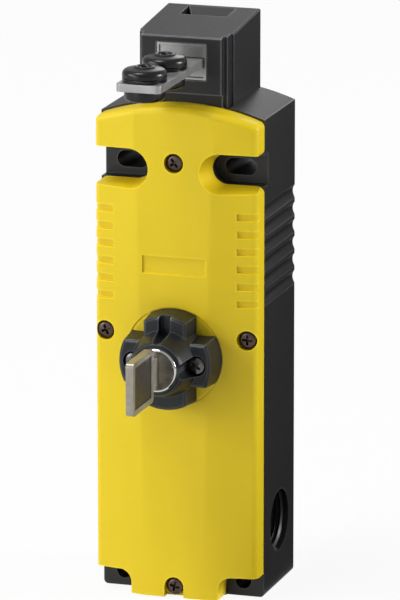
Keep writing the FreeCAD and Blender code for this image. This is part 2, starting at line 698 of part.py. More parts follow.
def cover_grooves():
    """Grip grooves at both edges, at one depth below the sloping facets."""
    solids = []
    for z in groove_heights():
        low, high = z - GROOVE_HEIGHT / 2, z + GROOVE_HEIGHT / 2
        solids.append(box(GROOVE_INNER, HALF + 1, COVER_FRONT - 1, SEAM - 1, low, high))
    return solids + [mirrored(s) for s in solids]


def cover():
    """Shell with bosses, grooves, funnels and screw pockets, the lowest one open to the tab's edge."""
    form = cover_form()
    sunk = form.copy()
    sunk.translate(Vector(0, GROOVE_DEPTH, 0))
    grooves = [g.cut(sunk) for g in cover_grooves()]
    ring_face = form.copy()
    ring_face.translate(Vector(0, RING_DEPTH, 0))
    lock_axis = ((0, COVER_FRONT - 1, LOCK_HEIGHT), (0, SEAM - 2, LOCK_HEIGHT))
    ring = tube(RING_RADIUS, RING_RADIUS - RING_WIDTH, *lock_axis).cut(ring_face)
    panel_z = (PANEL_CENTRE - PANEL_HEIGHT / 2, PANEL_CENTRE + PANEL_HEIGHT / 2)
    panel = box(-PANEL_HALF, PANEL_HALF, COVER_FRONT - 1, COVER_FRONT + PANEL_DEPTH, *panel_z)
    inside = cover_outline(COVER_WALL).extrude(FRONT * (COVER_RISE - COVER_WALL))
    wedge = facet_wedge(COVER_WALL)
    inside = cut(inside, wedge, mirrored(wedge))
    bosses = []
    for x, z, _ in cover_screw_places():
        bosses.append(rod(SCREW_BOSS / 2, (x, SEAM, z), (x, COVER_FRONT, z)).common(form))
    boss_end = COVER_FRONT + LOCK_SCREW_BOSS_DEPTH
    for side in (-1, 1):
        x = side * LOCK_SCREW_SIDE
        boss = rod(SCREW_BOSS / 2, (x, boss_end, LOCK_HEIGHT), (x, COVER_FRONT, LOCK_HEIGHT))
        bosses.append(boss.common(form))
    shell = fuse(form.cut(inside), *bosses)
    cuts = grooves + cover_bevels() + [ring, panel]
    pocket = SCREW_HEAD / 2 + SCREW_POCKET_CLEARANCE
    for x, z, face in cover_screw_places():
        floor = face + SCREW_RECESS + SCREW_HEAD_HEIGHT
        cuts.append(rod(pocket, (x, COVER_FRONT - 1, z), (x, floor, z)))
        cuts.append(rod(SCREW_HOLE_RADIUS, (x, floor - 0.1, z), (x, SEAM + 1, z)))
    notch_floor = COVER_FRONT + SCREW_RECESS + SCREW_HEAD_HEIGHT
    cuts.append(box(-pocket, pocket, COVER_FRONT - 1, notch_floor, -BOTTOM_EDGE - 1, BOTTOM_SCREW))
    cuts.append(rod(LOCK_SPIGOT + 0.1, *lock_axis))
    screw_end = LOCK_SCREW_SEAT + LOCK_SCREW_LENGTH
    for side in (-1, 1):
        x = side * LOCK_SCREW_SIDE
        cuts.append(rod(SCREW_SHANK / 2, (x, COVER_FRONT - 1, LOCK_HEIGHT), (x, screw_end, LOCK_HEIGHT)))
    cuts.append(seal_band(SEAL_HEIGHT))
    return cut(shell, *cuts)


def seal_band(height):
    """Flat cord seal that follows the cover's outline."""
    outer = cover_outline(SEAL_INSET)
    inner = cover_outline(SEAL_INSET + SEAL_WIDTH)
    return outer.cut(inner).extrude(FRONT * height)


def pan_screw(place, direction, head, head_height, shank, length):
    """Screw with a crowned head, placed by the middle of the head's seat and pointing out of the head."""
    r, shoulder = head / 2, head_height - SCREW_CROWN
    points = [(0, -length), (shank / 2, -length), (shank / 2, 0), (r, 0), (r, shoulder)]
    points += [(r - SCREW_CROWN, head_height), (0, head_height)]
    return turned(points, place, direction)


def cover_screws():
    screws = []
    for x, z, face in cover_screw_places():
        seat = face + SCREW_RECESS + SCREW_HEAD_HEIGHT
        place = (x, seat, z)
        screws.append(pan_screw(place, FRONT, SCREW_HEAD, SCREW_HEAD_HEIGHT, SCREW_SHANK, SCREW_LENGTH))
    return Part.makeCompound(screws)


def head_plan():
    """Half of the head's outline seen from above, stepped back at the front corner, from front to back."""
    x, y = HEAD_FACE_HALF, HEAD_FRONT
    points = [(x, y)]
    for width, depth in HEAD_STEPS:
        y += depth
        points.append((x, y))
        x += width
        points.append((x, y))
    return points + [(HEAD_HALF, HEAD_BACK)]


def head_roof_height(y):
    slope = (HEAD_REAR_TOP - HEAD_FRONT_TOP) / HEAD_DEPTH
    return HEAD_REAR_TOP + slope * (y - HEAD_BACK)


def head_body():
    """Solid outer form of the head with its sloping roof."""
    half = head_plan()
    plan = half + [(-x, y) for x, y in reversed(half)]
    above = HEAD_REAR_TOP + HEAD_EDGE
    body = top_prism(plan, HEAD_SEAT, above)
    back, front = HEAD_BACK + HEAD_WALL, HEAD_FRONT - HEAD_WALL
    roof = [(y, head_roof_height(y)) for y in (back, front)] + [(front, above + 1), (back, above + 1)]
    body = body.cut(side_prism(roof, -HALF, HALF))
    rim = edges_where(body, lambda p, e: p.z > HEAD_FRONT_TOP - 0.5 and e.Length > HEAD_DEPTH / 2)
    return body.makeChamfer(HEAD_EDGE, rim)


def head_chute():
    """Upper entry: an upright mouth whose rear side is a ramp that narrows on its way down."""
    half = BLADE_WIDTH / 2 + 2 * BLADE_CLEARANCE
    throat_back = -CHUTE_FRONT + CHUTE_THROAT
    top = head_roof_height(-CHUTE_REAR)
    above, below = HEAD_REAR_TOP + 1, HEAD_ROOF - 1
    ramp = side_prism([
        (-CHUTE_FRONT, above), (-CHUTE_REAR, above), (-CHUTE_REAR, top),
        (throat_back, top - CHUTE_FALL), (throat_back, below), (-CHUTE_FRONT, below),
    ], -half, half)
    corners = [(half, -CHUTE_REAR), (half, throat_back), (half - CHUTE_TAPER, throat_back)]
    beside = top_prism(corners, below, above)
    return [ramp, beside, mirrored(beside)]


def head_casing():
    front = HEAD_FRONT
    inner_half = HEAD_HALF - HEAD_WALL
    cavity = box(-inner_half, inner_half, HEAD_BACK - HEAD_WALL, front + HEAD_WALL, HEAD_SEAT - 1, HEAD_ROOF)
    corner_back = front + sum(depth for _, depth in HEAD_STEPS) + HEAD_WALL
    corner = box(HEAD_FACE_HALF - HEAD_WALL, HEAD_HALF, front, corner_back, HEAD_SEAT, HEAD_ROOF)
    corners = fuse(corner, mirrored(corner)).common(head_body())
    post = HEAD_SCREW_BOSS / 2
    posts = [rod(post, (x, y, HEAD_SEAT), (x, y, HEAD_POST_TOP)) for x, y in head_screw_places()]
    body = fuse(head_body().cut(cavity), corners, *posts)
    cuts = head_chute()
    for x, y in head_screw_places():
        cuts.append(rod(SCREW_SHANK / 2, (x, y, HEAD_SEAT - 1), (x, y, HEAD_POST_TOP - 1)))
    skirt_half = HEAD_HALF - HEAD_STEPS[-1][0]
    cuts.append(box(-skirt_half, skirt_half, front - 1, SEAM, HEAD_SEAT - 1, HEAD_SEAT + HEAD_SKIRT))
    cuts.append(box(-HEAD_HALF, HEAD_HALF, front - 1, SEAM, HEAD_SEAT - 1, HEAD_SEAT + HEAD_RELIEF))
    window_half = PLATE_WIDTH / 2 + PLATE_CLEARANCE
    window_rise = PLATE_HEIGHT / 2 + PLATE_CLEARANCE
    window_z = (PLATE_CENTRE - window_rise, PLATE_CENTRE + window_rise)
    cuts.append(box(-window_half, window_half, front - 1, front + HEAD_WALL + 1, *window_z))
    grip = inner_half + AXLE_GRIP
    cuts.append(rod(AXLE_DIAMETER / 2, (-grip, WHEEL_Y, WHEEL_Z), (grip, WHEEL_Y, WHEEL_Z)))
    return cut(body, *cuts)


def head_screws():
    screws = []
    sizes = (SCREW_HEAD - INNER_HEAD_LESS, SCREW_HEAD_HEIGHT, SCREW_SHANK, HEAD_SCREW_LENGTH)
    for x, y in head_screw_places():
        screws.append(pan_screw((x, y, INNER_TOP), -UP, *sizes))
    return Part.makeCompound(screws)


def guide_plate():
    """Steel plate in the head's window, with a raised rim, a rear flange and the slot for the blade."""
    half, rise = PLATE_WIDTH / 2, PLATE_HEIGHT / 2
    face = HEAD_FRONT + PLATE_SINK
    inner = HEAD_FRONT + HEAD_WALL
    plate = box(-half, half, face, inner, PLATE_CENTRE - rise, PLATE_CENTRE + rise)
    flange_half = half + PLATE_FLANGE
    flange_z = (PLATE_CENTRE - rise - PLATE_FLANGE, min(PLATE_CENTRE + rise + PLATE_FLANGE, HEAD_ROOF))
    flange = box(-flange_half, flange_half, inner, inner + PLATE_FLANGE, *flange_z)
    tray_half, tray_rise = half - PLATE_RIM, rise - PLATE_RIM
    tray_z = (PLATE_CENTRE - tray_rise, PLATE_CENTRE + tray_rise)
    tray = box(-tray_half, tray_half, face - 1, face + PLATE_RIM_HEIGHT, *tray_z)
    gap = BLADE_CLEARANCE
    slot_half = BLADE_WIDTH / 2 + gap
    slot = box(-slot_half, slot_half, face - 1, inner + PLATE_FLANGE + 1, BLADE_BOTTOM - gap, BLADE_TOP + gap)
    return cut(fuse(plate, flange), tray, slot)


def actuator_blade():
    half = BLADE_WIDTH / 2
    blade = box(-half, half, BLADE_OUTER, BLADE_INNER, BLADE_BOTTOM, BLADE_TOP)
    middle = (BLADE_TOP + BLADE_BOTTOM) / 2
    upright = edges_where(blade, lambda p, e: abs(p.z - middle) < 0.01)
    blade = blade.makeFillet(BLADE_CORNER, upright)
    window_back = BLADE_INNER - BLADE_CROSSBAR
    window_half = half - BLADE_RAIL
    window_y = (window_back, BLADE_WINDOW_FRONT)
    window = box(-window_half, window_half, *window_y, BLADE_BOTTOM - 1, BLADE_TOP + 1)
    holes = [rod(BUSH_NECK / 2, (0, y, BLADE_BOTTOM - 1), (0, y, BLADE_TOP + 1)) for y in bush_places()]
    return cut(blade, window, *holes)


def bush_places():
    return [BLADE_OUTER + BUSH_END, BLADE_OUTER + BUSH_END + BUSH_PITCH]


def bush(y):
    """Rubber grommet with a tall rounded top and a lower foot, held in the blade by its neck."""
    r, foot, neck, bore = (d / 2 for d in (BUSH_DIAMETER, BUSH_FOOT, BUSH_NECK, SLEEVE_DIAMETER))
    low, high = BLADE_BOTTOM - BUSH_FOOT_HEIGHT, BLADE_TOP + BUSH_HEIGHT
    soft, lower_soft = BUSH_ROUNDING, BUSH_FOOT_ROUNDING
    bend = 1 - math.sqrt(0.5)
    sink = SLEEVE_SINK

    def at(radius, z):
        return Vector(radius, 0, z)

    foot_arc = [at(foot - lower_soft, low), at(foot - lower_soft * bend, low + lower_soft * bend)]
    foot_arc.append(at(foot, low + lower_soft))
    top_arc = [at(r, high - soft), at(r - soft * bend, high - soft * bend), at(r - soft, high)]
    neck_points = [at(foot, BLADE_BOTTOM), at(neck, BLADE_BOTTOM), at(neck, BLADE_TOP), at(r, BLADE_TOP)]
    outside = [foot_arc[-1]] + neck_points + [top_arc[0]]
    inside = [top_arc[-1], at(bore + sink, high), at(bore, high - sink), at(bore, low), foot_arc[0]]
    edges = [Part.Arc(*foot_arc).toShape(), Part.Arc(*top_arc).toShape()]
    for line in (outside, inside):
        edges += [Part.LineSegment(a, b).toShape() for a, b in zip(line, line[1:])]
    profile = Part.Face(Part.Wire(Part.__sortEdges__(edges)))
    solid = profile.revolve(Vector(0, 0, 0), UP, 360)
    solid.translate(Vector(0, y, 0))
    return solid


def bush_sleeves():
    low, high = BLADE_BOTTOM - BUSH_FOOT_HEIGHT, BLADE_TOP + BUSH_HEIGHT - SLEEVE_SINK
    return Part.makeCompound([
        tube(SLEEVE_DIAMETER / 2, SLEEVE_BORE / 2, (0, y, low), (0, y, high)) for y in bush_places()
    ])


def wheel_point(radius, degrees, x):
    """Point on the wheel; degrees count from upright towards the front."""
    a = math.radians(degrees)
    return Vector(x, WHEEL_Y - radius * math.sin(a), WHEEL_Z + radius * math.cos(a))


def cam_wheel():
    """Drum with the pocket that the blade's crossbar pulls round, the lock notch and the plunger cam."""
    half = WHEEL_WIDTH / 2
    centre = (WHEEL_Y, WHEEL_Z)
    drum = rod(WHEEL_RADIUS, (-half, *centre), (half, *centre))
    steps = 6
    span = WHEEL_POCKET_FRONT + WHEEL_POCKET_REAR
    far = WHEEL_RADIUS * 1.6
    fan = [Vector(-half - 1, WHEEL_Y, WHEEL_Z)]
    for i in range(steps + 1):
        fan.append(wheel_point(far, WHEEL_POCKET_FRONT - span * i / steps, -half - 1))
    sector = Part.Face(Part.makePolygon(fan + fan[:1])).extrude(Vector(WHEEL_WIDTH + 2, 0, 0))
    pocket = sector.cut(rod(POCKET_RADIUS, (-half - 1, *centre), (half + 1, *centre)))
    notch_y = (WHEEL_Y - NOTCH_WIDTH / 2, WHEEL_Y + NOTCH_WIDTH / 2)
    notch = box(-half - 1, half + 1, *notch_y, WHEEL_BOTTOM - 1, WHEEL_BOTTOM + NOTCH_DEPTH)
    drum = cut(drum, pocket, notch)
    reach = HEAD_HALF - HEAD_WALL - WHEEL_GAP
    hub = rod(HUB_RADIUS, (-reach, *centre), (reach, *centre))
    bore = rod(AXLE_DIAMETER / 2 + RUNNING_FIT, (-reach - 1, *centre), (reach + 1, *centre))
    return cut(fuse(drum, hub, plunger_cam()), bore)


def plunger_cam():
    """Spiral lobe that presses the plunger down evenly as the wheel turns."""
    x = -PLUNGER_SIDE - CAM_WIDTH / 2
    rate = PLUNGER_TRAVEL / WHEEL_TURN
    span = WHEEL_TURN + CAM_OVERRUN + CAM_LEAD
    steps = 8
    points = []
    for i in range(steps + 1):
        turn = span * i / steps - CAM_LEAD
        points.append(wheel_point(CAM_BASE + rate * turn, 180 - turn, x))
    spiral = Part.BSplineCurve()
    spiral.interpolate(points)
    middle = Vector(x, WHEEL_Y, WHEEL_Z)
    sides = [Part.LineSegment(a, b).toShape() for a, b in ((points[-1], middle), (middle, points[0]))]
    return Part.Face(Part.Wire([spiral.toShape()] + sides)).extrude(Vector(CAM_WIDTH, 0, 0))


def cam_axle():
    grip = HEAD_HALF - HEAD_WALL + AXLE_GRIP
    return rod(AXLE_DIAMETER / 2, (-grip, WHEEL_Y, WHEEL_Z), (grip, WHEEL_Y, WHEEL_Z))


def position_plunger():
    """Rod under the cam, with a foot that reaches over the left contact block and a stem into it."""
    r = PLUNGER_DIAMETER / 2
    x = -PLUNGER_SIDE
    top = WHEEL_Z - CAM_BASE - CAM_CLEARANCE
    base = CROSSHEAD_BASE
    rod_part = rod(r, (x, WHEEL_Y, base), (x, WHEEL_Y, top - r))
    nose = Part.makeSphere(r, Vector(x, WHEEL_Y, top - r))
    foot_y = (WHEEL_Y - FOOT_WIDTH / 2, WHEEL_Y + FOOT_WIDTH / 2)
    foot = box(x + r, -STEM_SIDE - STEM_DIAMETER / 2, *foot_y, base, base + FOOT_HEIGHT)
    stem = rod(STEM_DIAMETER / 2, (-STEM_SIDE, WHEEL_Y, base - STEM_LENGTH), (-STEM_SIDE, WHEEL_Y, base))
    return fuse(rod_part, nose, foot, stem)


def locking_bolt():
    """Bolt with its crosshead, spring collar and the stem that works the right contact block."""
    r = BOLT_DIAMETER / 2
    y = WHEEL_Y
    crosshead_top = CROSSHEAD_BASE + CROSSHEAD_HEIGHT
    shank = rod(r, (0, y, armature_top()), (0, y, BOLT_TIP))
    shank = shank.makeChamfer(0.5, edges_where(shank, lambda p, e: abs(p.z - BOLT_TIP) < 0.01))
    collar = rod(COLLAR_DIAMETER / 2, (0, y, COLLAR_BASE), (0, y, COLLAR_BASE + COLLAR_HEIGHT))
    left = -r - 1.5
    right = STEM_SIDE + STEM_DIAMETER / 2
    crosshead = box(left, right, y - FOOT_WIDTH / 2, y + FOOT_WIDTH / 2, CROSSHEAD_BASE, crosshead_top)
    stem_end = CROSSHEAD_BASE - STEM_LENGTH
    stem = rod(STEM_DIAMETER / 2, (STEM_SIDE, y, stem_end), (STEM_SIDE, y, CROSSHEAD_BASE))
    return fuse(shank, collar, crosshead, stem)


def armature_top():
    return YOKE_TOP - YOKE_PLATE - POLE_GAP - BOLT_TRAVEL


def armature():
    top = armature_top()
    solid = rod(ARMATURE_DIAMETER / 2, (0, WHEEL_Y, top - ARMATURE_LENGTH), (0, WHEEL_Y, top))
    return solid.makeChamfer(0.5, solid.Edges[0:1] + edges_where(solid, lambda p, e: abs(p.z - top) < 0.01))


def return_spring():
    """Coil spring round the bolt, between its collar and the guide above."""
    wire = SPRING_WIRE / 2
    low = COLLAR_BASE + COLLAR_HEIGHT + wire
    height = GUIDE_BASE - wire - low
    radius = (COLLAR_DIAMETER - SPRING_WIRE) / 2
    helix = Part.makeHelix(height / SPRING_TURNS, height, radius)
    helix.translate(Vector(0, WHEEL_Y, low))
    section = Part.Wire(Part.makeCircle(wire, Vector(radius, WHEEL_Y, low), FRONT))
    return Part.Wire(helix).makePipeShell([section], True, True)


def solenoid_yoke():
    back, front = CARRIER_FRONT, YOKE_FRONT
    inner_top = YOKE_TOP - YOKE_PLATE
    top = box(-YOKE_HALF, YOKE_HALF, front, back, inner_top, YOKE_TOP)
    base = box(-YOKE_HALF, YOKE_HALF, front, back, YOKE_BASE, YOKE_BASE + YOKE_PLATE)
    rear = box(-YOKE_HALF, YOKE_HALF, back - YOKE_PLATE, back, YOKE_BASE, YOKE_TOP)
    hole = rod(BOLT_DIAMETER / 2 + ARMATURE_FIT, (0, WHEEL_Y, inner_top - 1), (0, WHEEL_Y, YOKE_TOP + 1))
    return cut(fuse(top, base, rear), hole)


def solenoid_bobbin():
    low, high = YOKE_BASE + YOKE_PLATE, YOKE_TOP - YOKE_PLATE
    bore = ARMATURE_DIAMETER / 2 + ARMATURE_FIT
    y = WHEEL_Y
    core = rod(bore + BOBBIN_WALL, (0, y, low), (0, y, high))
    bottom = rod(BOBBIN_RADIUS, (0, y, low), (0, y, low + BOBBIN_FLANGE))
    top = rod(BOBBIN_RADIUS, (0, y, high - BOBBIN_FLANGE), (0, y, high))
    return cut(fuse(core, bottom, top), rod(bore, (0, y, low - 1), (0, y, high + 1)))


def solenoid_winding():
    low = YOKE_BASE + YOKE_PLATE + BOBBIN_FLANGE
    high = YOKE_TOP - YOKE_PLATE - BOBBIN_FLANGE
    inner = ARMATURE_DIAMETER / 2 + ARMATURE_FIT + BOBBIN_WALL
    return tube(WINDING_RADIUS, inner, (0, WHEEL_Y, low), (0, WHEEL_Y, high))


def carrier():
    """Moulded plate on the back wall for the solenoid and blocks, with the guide bridge for the bolt."""
    back, front = -BACK_WALL, CARRIER_FRONT
    top = GUIDE_BASE + GUIDE_HEIGHT
    plate = box(-CARRIER_HALF, CARRIER_HALF, front, back, BLOCK_BASE, BLOCK_TOP)
    neck = box(-CARRIER_NECK, CARRIER_NECK, front, back, YOKE_BASE, top)
    bridge_front = WHEEL_Y - 1.5 * BOLT_DIAMETER
    rib_width = GUIDE_RIB_WIDTH
    bridge = box(-GUIDE_HALF, GUIDE_HALF, bridge_front, back, GUIDE_BASE, top)
    rib = [(front, GUIDE_BASE), (front, GUIDE_BASE - GUIDE_RIB), (front - GUIDE_RIB, GUIDE_BASE)]
    ribs = [side_prism(rib, x, x + rib_width) for x in (-PLUNGER_SIDE, PLUNGER_SIDE - rib_width)]
    bolt_bore = BOLT_DIAMETER / 2 + RUNNING_FIT
    rod_bore = PLUNGER_DIAMETER / 2 + RUNNING_FIT
    cuts = [
        rod(bolt_bore, (0, WHEEL_Y, GUIDE_BASE - 1), (0, WHEEL_Y, top + 1)),
        rod(rod_bore, (-PLUNGER_SIDE, WHEEL_Y, GUIDE_BASE - 1), (-PLUNGER_SIDE, WHEEL_Y, top + 1)),
    ]
    for side in (-1, 1):
        x = side * CARRIER_SCREW_SIDE
        cuts.append(rod(SCREW_HOLE_RADIUS, (x, front - 1, CARRIER_SCREW), (x, back + 1, CARRIER_SCREW)))
    return cut(fuse(plate, neck, bridge, *ribs), *cuts)


def carrier_screws():
    length = CARRIER_THICKNESS + BACK_WALL - 1
    head = SCREW_HEAD - INNER_HEAD_LESS
    places = [(side * CARRIER_SCREW_SIDE, CARRIER_FRONT, CARRIER_SCREW) for side in (-1, 1)]
    sizes = (head, SCREW_HEAD_HEIGHT, SCREW_SHANK, length)
    return Part.makeCompound([pan_screw(p, FRONT, *sizes) for p in places])


def terminal_places(side):
    """(x, y of the seat, z) of the terminal screws on one contact block: two on each step."""
    x = side * STEM_SIDE
    heights = [BLOCK_BASE + BLOCK_STEP / 2, BLOCK_TOP - BLOCK_STEP / 2]
    seat = YOKE_FRONT + BLOCK_STEP_DEPTH
    return [(x + dx * TERMINAL_PITCH / 2, seat, z) for z in heights for dx in (-1, 1)]


def contact_block(side):
    """Slim snap-action block, stepped back at both ends for its terminals, bored for the plunger's stem."""
    inner, outer = side * BLOCK_INNER, side * (BLOCK_INNER + BLOCK_WIDTH)
    body = box(inner, outer, YOKE_FRONT, CARRIER_FRONT, BLOCK_BASE, BLOCK_TOP)
    step_back = YOKE_FRONT + BLOCK_STEP_DEPTH
    cuts = [
        box(inner, outer, YOKE_FRONT - 1, step_back, BLOCK_BASE - 1, BLOCK_BASE + BLOCK_STEP),
        box(inner, outer, YOKE_FRONT - 1, step_back, BLOCK_TOP - BLOCK_STEP, BLOCK_TOP + 1),
    ]
    hole = STEM_DIAMETER / 2 + STEM_CLEARANCE
    depth = STEM_LENGTH + PLUNGER_TRAVEL
    stem_x = side * STEM_SIDE
    cuts.append(rod(hole, (stem_x, WHEEL_Y, BLOCK_TOP - depth), (stem_x, WHEEL_Y, BLOCK_TOP + 1)))
    cuts += terminal_holes(terminal_places(side))
    return cut(body, *cuts)


def terminal_holes(places):
    return [rod(TERMINAL_HOLE / 2, (x, y - 1, z), (x, y + TERMINAL_HOLE_DEPTH, z)) for x, y, z in places]


def supply_places():
    pitch = 2 * SUPPLY_HALF / SUPPLY_TERMINALS
    seat = -BACK_WALL - SUPPLY_DEPTH
    middle = SUPPLY_BASE + SUPPLY_HEIGHT / 2
    return [(-SUPPLY_HALF + pitch * (i + 0.5), seat, middle) for i in range(SUPPLY_TERMINALS)]


def supply_terminals():
    """Terminal strip for the solenoid's supply, with barriers between the terminals."""
    seat = -BACK_WALL - SUPPLY_DEPTH
    high = SUPPLY_BASE + SUPPLY_HEIGHT
    body = box(-SUPPLY_HALF, SUPPLY_HALF, seat, -BACK_WALL, SUPPLY_BASE, high)
    pitch = 2 * SUPPLY_HALF / SUPPLY_TERMINALS
    barrier = SUPPLY_BARRIER / 2
    walls = []
    for i in range(SUPPLY_TERMINALS + 1):
        x = min(max(-SUPPLY_HALF + pitch * i, barrier - SUPPLY_HALF), SUPPLY_HALF - barrier)
        walls.append(box(x - barrier, x + barrier, seat - SUPPLY_BARRIER_HEIGHT, seat, SUPPLY_BASE, high))
    return cut(fuse(body, *walls), *terminal_holes(supply_places()))


def terminal_screws():
    places = terminal_places(-1) + terminal_places(1) + supply_places()
    sizes = (TERMINAL_HEAD, TERMINAL_HEIGHT, TERMINAL_SHANK, TERMINAL_LENGTH)
    return Part.makeCompound([pan_screw(p, FRONT, *sizes) for p in places])


def earth_terminal():
    """Square clamping washer and screw for the protective conductor, on the back wall."""
    x, z = -EARTH_SIDE, EARTH_HEIGHT
    half, face = EARTH_WASHER / 2, -BACK_WALL - EARTH_WASHER_THICKNESS
    washer = box(x - half, x + half, face, -BACK_WALL, z - half, z + half)
    screw = pan_screw((x, face, z), FRONT, SCREW_HEAD, SCREW_HEAD_HEIGHT, SCREW_SHANK, EARTH_SCREW_LENGTH)
    return fuse(washer, screw)


def lock_arms():
    """Four tapered arms under one cone."""
    deep = COVER_FRONT + LOCK_SINK
    front = LOCK_ARM_FRONT
    drop = LOCK_DRAFT * (deep - front) / LOCK_ARM_RISE
    wide, narrow = LOCK_ARM - LOCK_DRAFT + drop, LOCK_ARM - LOCK_DRAFT
    reach = 2 * LOCK_RADIUS
    arms = []
    for across, along in (((wide, narrow), (reach, reach)), ((reach, reach), (wide, narrow))):
        sections = []
        for half_x, half_z, y in ((across[0], along[0], deep), (across[1], along[1], front)):
            corners = [(-half_x, -half_z), (half_x, -half_z), (half_x, half_z), (-half_x, half_z)]
            sections.append(polygon([(x, y, LOCK_HEIGHT + z) for x, z in corners]).OuterWire)
        arms.append(Part.makeLoft(sections, True, True))
    base_radius = LOCK_RADIUS - LOCK_DRAFT + drop
    top_radius = LOCK_RADIUS - LOCK_DRAFT
    cone = Part.makeCone(base_radius, top_radius, deep - front, Vector(0, deep, LOCK_HEIGHT), FRONT)
    cross = fuse(*arms).common(cone)

    def on_outer_rim(p, edge):
        return abs(p.y - front) < 0.01 and math.hypot(p.x, p.z - LOCK_HEIGHT) > LOCK_CONE_BASE

    return cross.makeChamfer(LOCK_EDGE, edges_where(cross, on_outer_rim))


def lock_housing():
    """Four-armed housing of the key lock, seated on the cover's facets."""
    height = (0, COVER_FRONT, LOCK_HEIGHT)
    front = LOCK_ARM_FRONT
    profile = [(0, 0), (LOCK_CONE_BASE, 0), (LOCK_CONE_BASE, LOCK_ARM_RISE - 1), (LOCK_LIP, LOCK_RISE - 1)]
    profile += [(LOCK_RING, LOCK_RISE), (0, LOCK_RISE)]
    body = fuse(lock_arms(), turned(profile, height, FRONT)).cut(cover_form())
    spigot_back = COVER_FRONT + LOCK_SPIGOT_LENGTH
    spigot = rod(LOCK_SPIGOT, (0, spigot_back, LOCK_HEIGHT), (0, COVER_FRONT - 1, LOCK_HEIGHT))
    body = fuse(body, spigot)
    cuts = [rod(BARREL_RADIUS, (0, spigot_back + 1, LOCK_HEIGHT), (0, LOCK_FRONT - 1, LOCK_HEIGHT))]
    floor = LOCK_SCREW_SEAT
    pocket = LOCK_SCREW_HEAD / 2 + SCREW_POCKET_CLEARANCE
    for side in (-1, 1):
        x = side * LOCK_SCREW_SIDE
        cuts.append(rod(pocket, (x, LOCK_FRONT, LOCK_HEIGHT), (x, floor, LOCK_HEIGHT)))
        hole_end = (x, COVER_FRONT + LOCK_SINK, LOCK_HEIGHT)
        cuts.append(rod(SCREW_HOLE_RADIUS, (x, floor - 1, LOCK_HEIGHT), hole_end))
    end = LOCK_TOP - POINTER_LENGTH
    half = POINTER_WIDTH / 2
    cuts.append(box(-half, half, LOCK_FRONT, front + POINTER_DEPTH, end, LOCK_TOP + 1))
    cuts.append(rod(half, (0, LOCK_FRONT, end), (0, front + POINTER_DEPTH, end)))
    return cut(body, *cuts)


def lock_screws():
    sizes = (LOCK_SCREW_HEAD, SCREW_HEAD_HEIGHT, SCREW_SHANK, LOCK_SCREW_LENGTH)
    places = [(side * LOCK_SCREW_SIDE, LOCK_SCREW_SEAT, LOCK_HEIGHT) for side in (-1, 1)]
    return Part.makeCompound([pan_screw(p, FRONT, *sizes) for p in places])


def lock_barrel():
    """Chromed sleeve that the plug turns in."""
    front, back = (0, BARREL_FRONT, LOCK_HEIGHT), (0, BARREL_BACK, LOCK_HEIGHT)
    body = rod(BARREL_RADIUS, front, back)
    body = body.makeChamfer(0.5, edges_where(body, lambda p, e: abs(p.y - BARREL_FRONT) < 0.01))
    mouth = (0, BARREL_FRONT - 1, LOCK_HEIGHT)
    bore = rod(PLUG_RADIUS + RUNNING_FIT, mouth, (0, BARREL_BACK + 1, LOCK_HEIGHT))
    collar = rod(PLUG_COLLAR + RUNNING_FIT, mouth, (0, BARREL_FRONT + PLUG_COLLAR_DEPTH, LOCK_HEIGHT))
    return cut(body, bore, collar)


def key_slot(length):
    """Room for the key's blade, from the plug's face inwards."""
    half = KEY_THICKNESS / 2 + KEY_CLEARANCE
    rise = KEY_BLADE_HEIGHT / 2 + KEY_CLEARANCE
    return box(-half, half, PLUG_FRONT - 1, PLUG_FRONT + length, LOCK_HEIGHT - rise, LOCK_HEIGHT + rise)


def lock_cylinder():
    """Turning plug with its key slot and the tail behind it."""
    z = LOCK_HEIGHT
    collar_back = BARREL_FRONT + PLUG_COLLAR_DEPTH
    body = rod(PLUG_RADIUS, (0, PLUG_FRONT, z), (0, BARREL_BACK, z))
    collar = rod(PLUG_COLLAR, (0, PLUG_FRONT, z), (0, collar_back, z))
    tail = rod(TAIL_RADIUS, (0, BARREL_BACK, z), (0, CAM_FRONT, z))
    return cut(fuse(body, collar, tail), key_slot(KEY_BLADE_LENGTH + 0.5))


def retaining_clip():
    """Clip that keeps the plug in its sleeve."""
    start = BARREL_BACK + CLIP_THICKNESS
    ring = tube(CLIP_RADIUS, TAIL_RADIUS, (0, BARREL_BACK, LOCK_HEIGHT), (0, start, LOCK_HEIGHT))
    half = TAIL_RADIUS * 0.8
    mouth = box(-half, half, BARREL_BACK - 1, start + 1, LOCK_HEIGHT - CLIP_RADIUS - 1, LOCK_HEIGHT)
    return ring.cut(mouth)


def release_cam():
    """Disc on the plug's tail with the pin that moves the release slide."""
    z = LOCK_HEIGHT
    back = CAM_FRONT + RELEASE_CAM_THICKNESS
    disc = rod(RELEASE_CAM_RADIUS, (0, CAM_FRONT, z), (0, back, z))
    pin = rod(PIN_RADIUS, (PIN_ORBIT, back, z), (PIN_ORBIT, PIN_END, z))
    return fuse(disc, pin)


